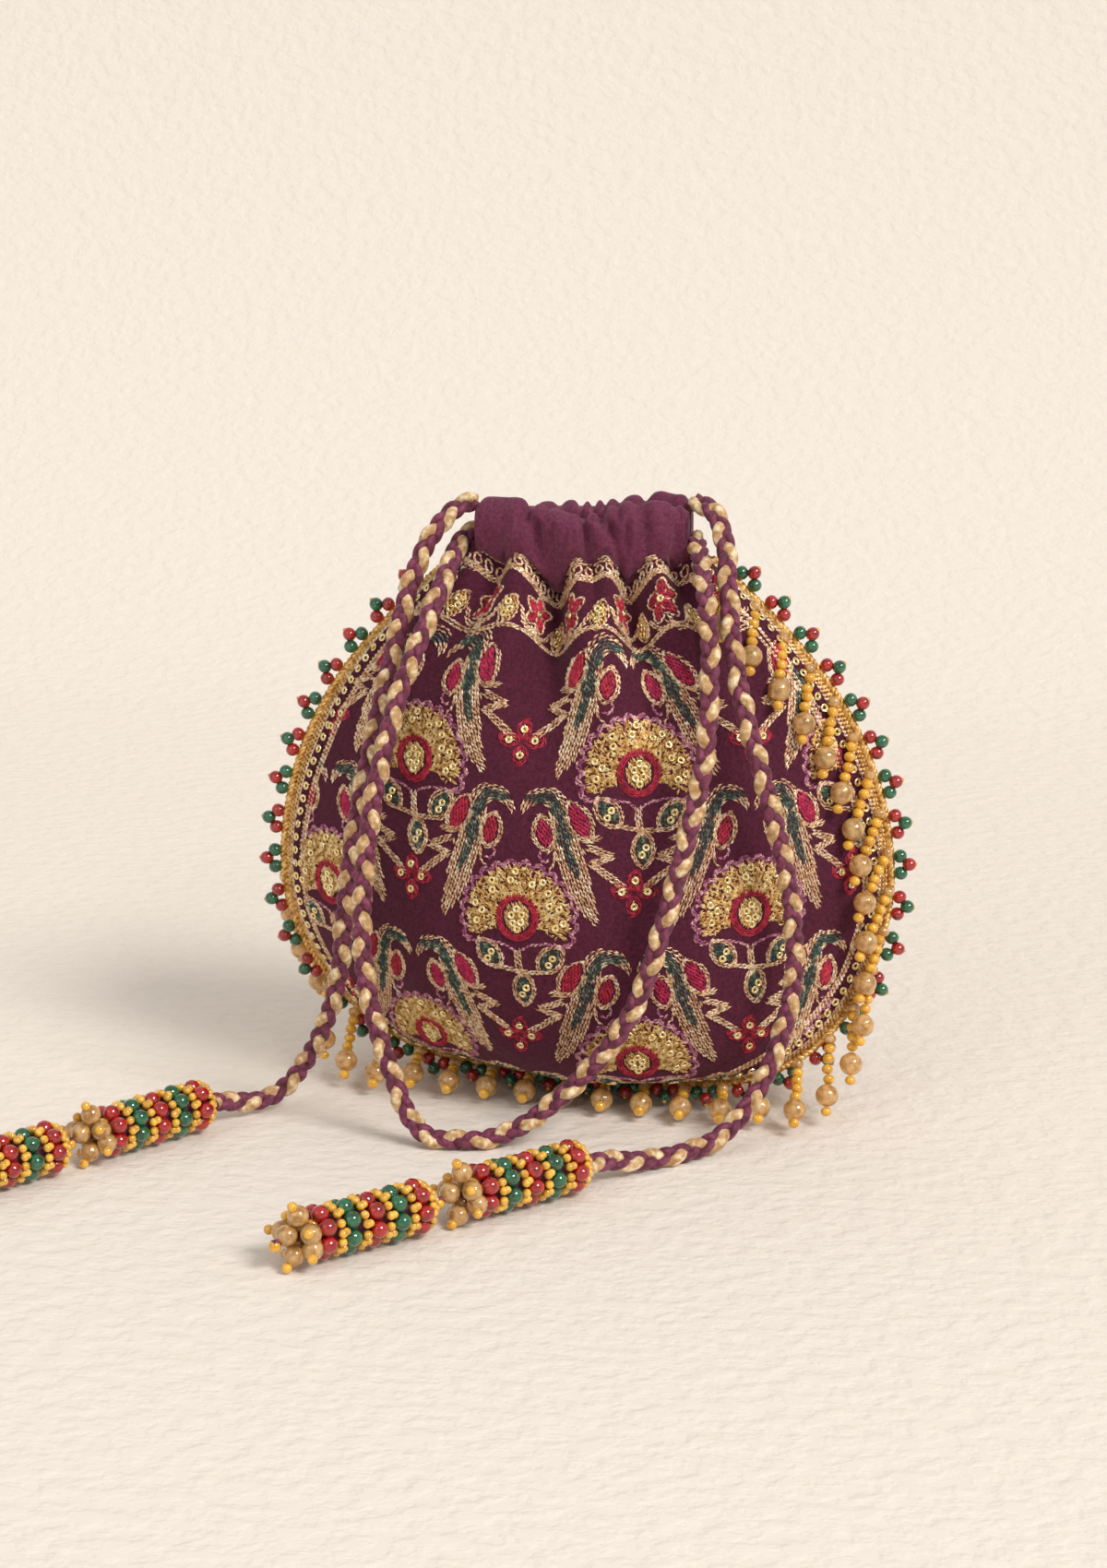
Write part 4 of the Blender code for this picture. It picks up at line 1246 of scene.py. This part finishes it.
def cloth_pieces(front, back, mats):
    """The panels, the lining and the casings, each in place of its CAD node."""
    pieces = {
        "front_panel": panel_piece("front_cloth", front, mats["cloth"]),
        "back_panel": panel_piece("back_cloth", back, mats["cloth"]),
        "lining": lining_piece(front, back, mats["lining"]),
        "front_casing": casing_piece("front_header", front, FRONT_FOLDS, mats["header"]),
        "back_casing": casing_piece("back_header", back, BACK_FOLDS, mats["header"]),
    }
    for node, piece in pieces.items():
        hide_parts(node)
    return list(pieces.values())


def fringe_pieces(mats):
    piles, thread = bead_piles(), Pile()
    fringe(piles, thread)
    names = {"amber": "fringe_amber_beads", "pearl": "fringe_pearls", "red_bead": "picot_red_beads",
             "green_bead": "picot_green_beads", "gold_bead": "picot_end_beads"}
    made = [piles[colour].mesh(name, mats[colour]) for colour, name in names.items()]
    made.append(thread.mesh("fringe_thread", mats["trim"]))
    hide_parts(*(f"fringe_strand_{i + 1:02d}" for i in range(STRANDS)))
    return made


def tassel_pieces(side, route, aim, mats):
    piles, thread = bead_piles(), Pile()
    tassel(route[-1], aim, piles, thread)
    made = [pile.mesh(f"tassel_{side}_{colour}", mats[colour]) for colour, pile in piles.items()]
    made.append(thread.mesh(f"tassel_{side}_core", mats["cord_plum"]))
    parts = ("upper_drum", "upper_pearls", "lower_drum", "lower_pearls")
    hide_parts(*(f"tassel_{side}_{part}" for part in parts))
    return made


def make_stage():
    make_floor()
    make_sun((0.95, -0.62, 1.0), 1.75, 20, (1.0, 0.965, 0.92))
    make_light("softbox", (0.55, -0.8, 0.85), (0, 0, 0.08), 0.16, 1.6, (1.0, 0.98, 0.95))
    make_light("fill", (-0.9, -1.4, 1.0), (0, 0, 0.1), 1.2, 3.5, (1.0, 0.985, 0.97))
    make_world(0.56, (1.0, 0.975, 0.95))
    bpy.context.scene.view_settings.view_transform = "Standard"
    make_camera()


def main():
    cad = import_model()["nodes"]
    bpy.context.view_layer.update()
    mats = make_materials()
    front = Cloth(FRONT_LINE, FRONT_VALLEYS, -1, 241)
    back = Cloth(BACK_LINE, BACK_VALLEYS, 1, 201)

    shown = cloth_pieces(front, back, mats)
    shown += make_embroidery("front", front, all_over_pattern(front), mats)
    shown += make_embroidery("back", back, all_over_pattern(back), mats)
    trim = edge_trim(front, back, mats)
    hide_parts("edge_braid_with_picots")
    shown += trim + fringe_pieces(mats)
    left = tassel_pieces("left", TAIL_LEFT_ROUTE, TASSEL_LEFT_AIM, mats)
    right = tassel_pieces("right", TAIL_RIGHT_ROUTE, TASSEL_RIGHT_AIM, mats)
    shown += left + right

    for part, route, far_end, extra in (("tail_left", TAIL_LEFT_ROUTE, "fitting", left),
                                        ("loop", LOOP_ROUTE, "object", ()),
                                        ("tail_right", TAIL_RIGHT_ROUTE, "fitting", right)):
        cord, line = plait(f"cord_{part}", route, mats)
        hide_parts(f"drawstring_{part}")
        shown.append(cord)
    for node in ("drawstring_in_front_casing", "drawstring_in_back_casing"):
        cad[node].data.materials.clear()
        cad[node].data.materials.append(mats["cord_plum"])

    for piece in shown:
        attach(piece, "root")

    make_stage()


main()
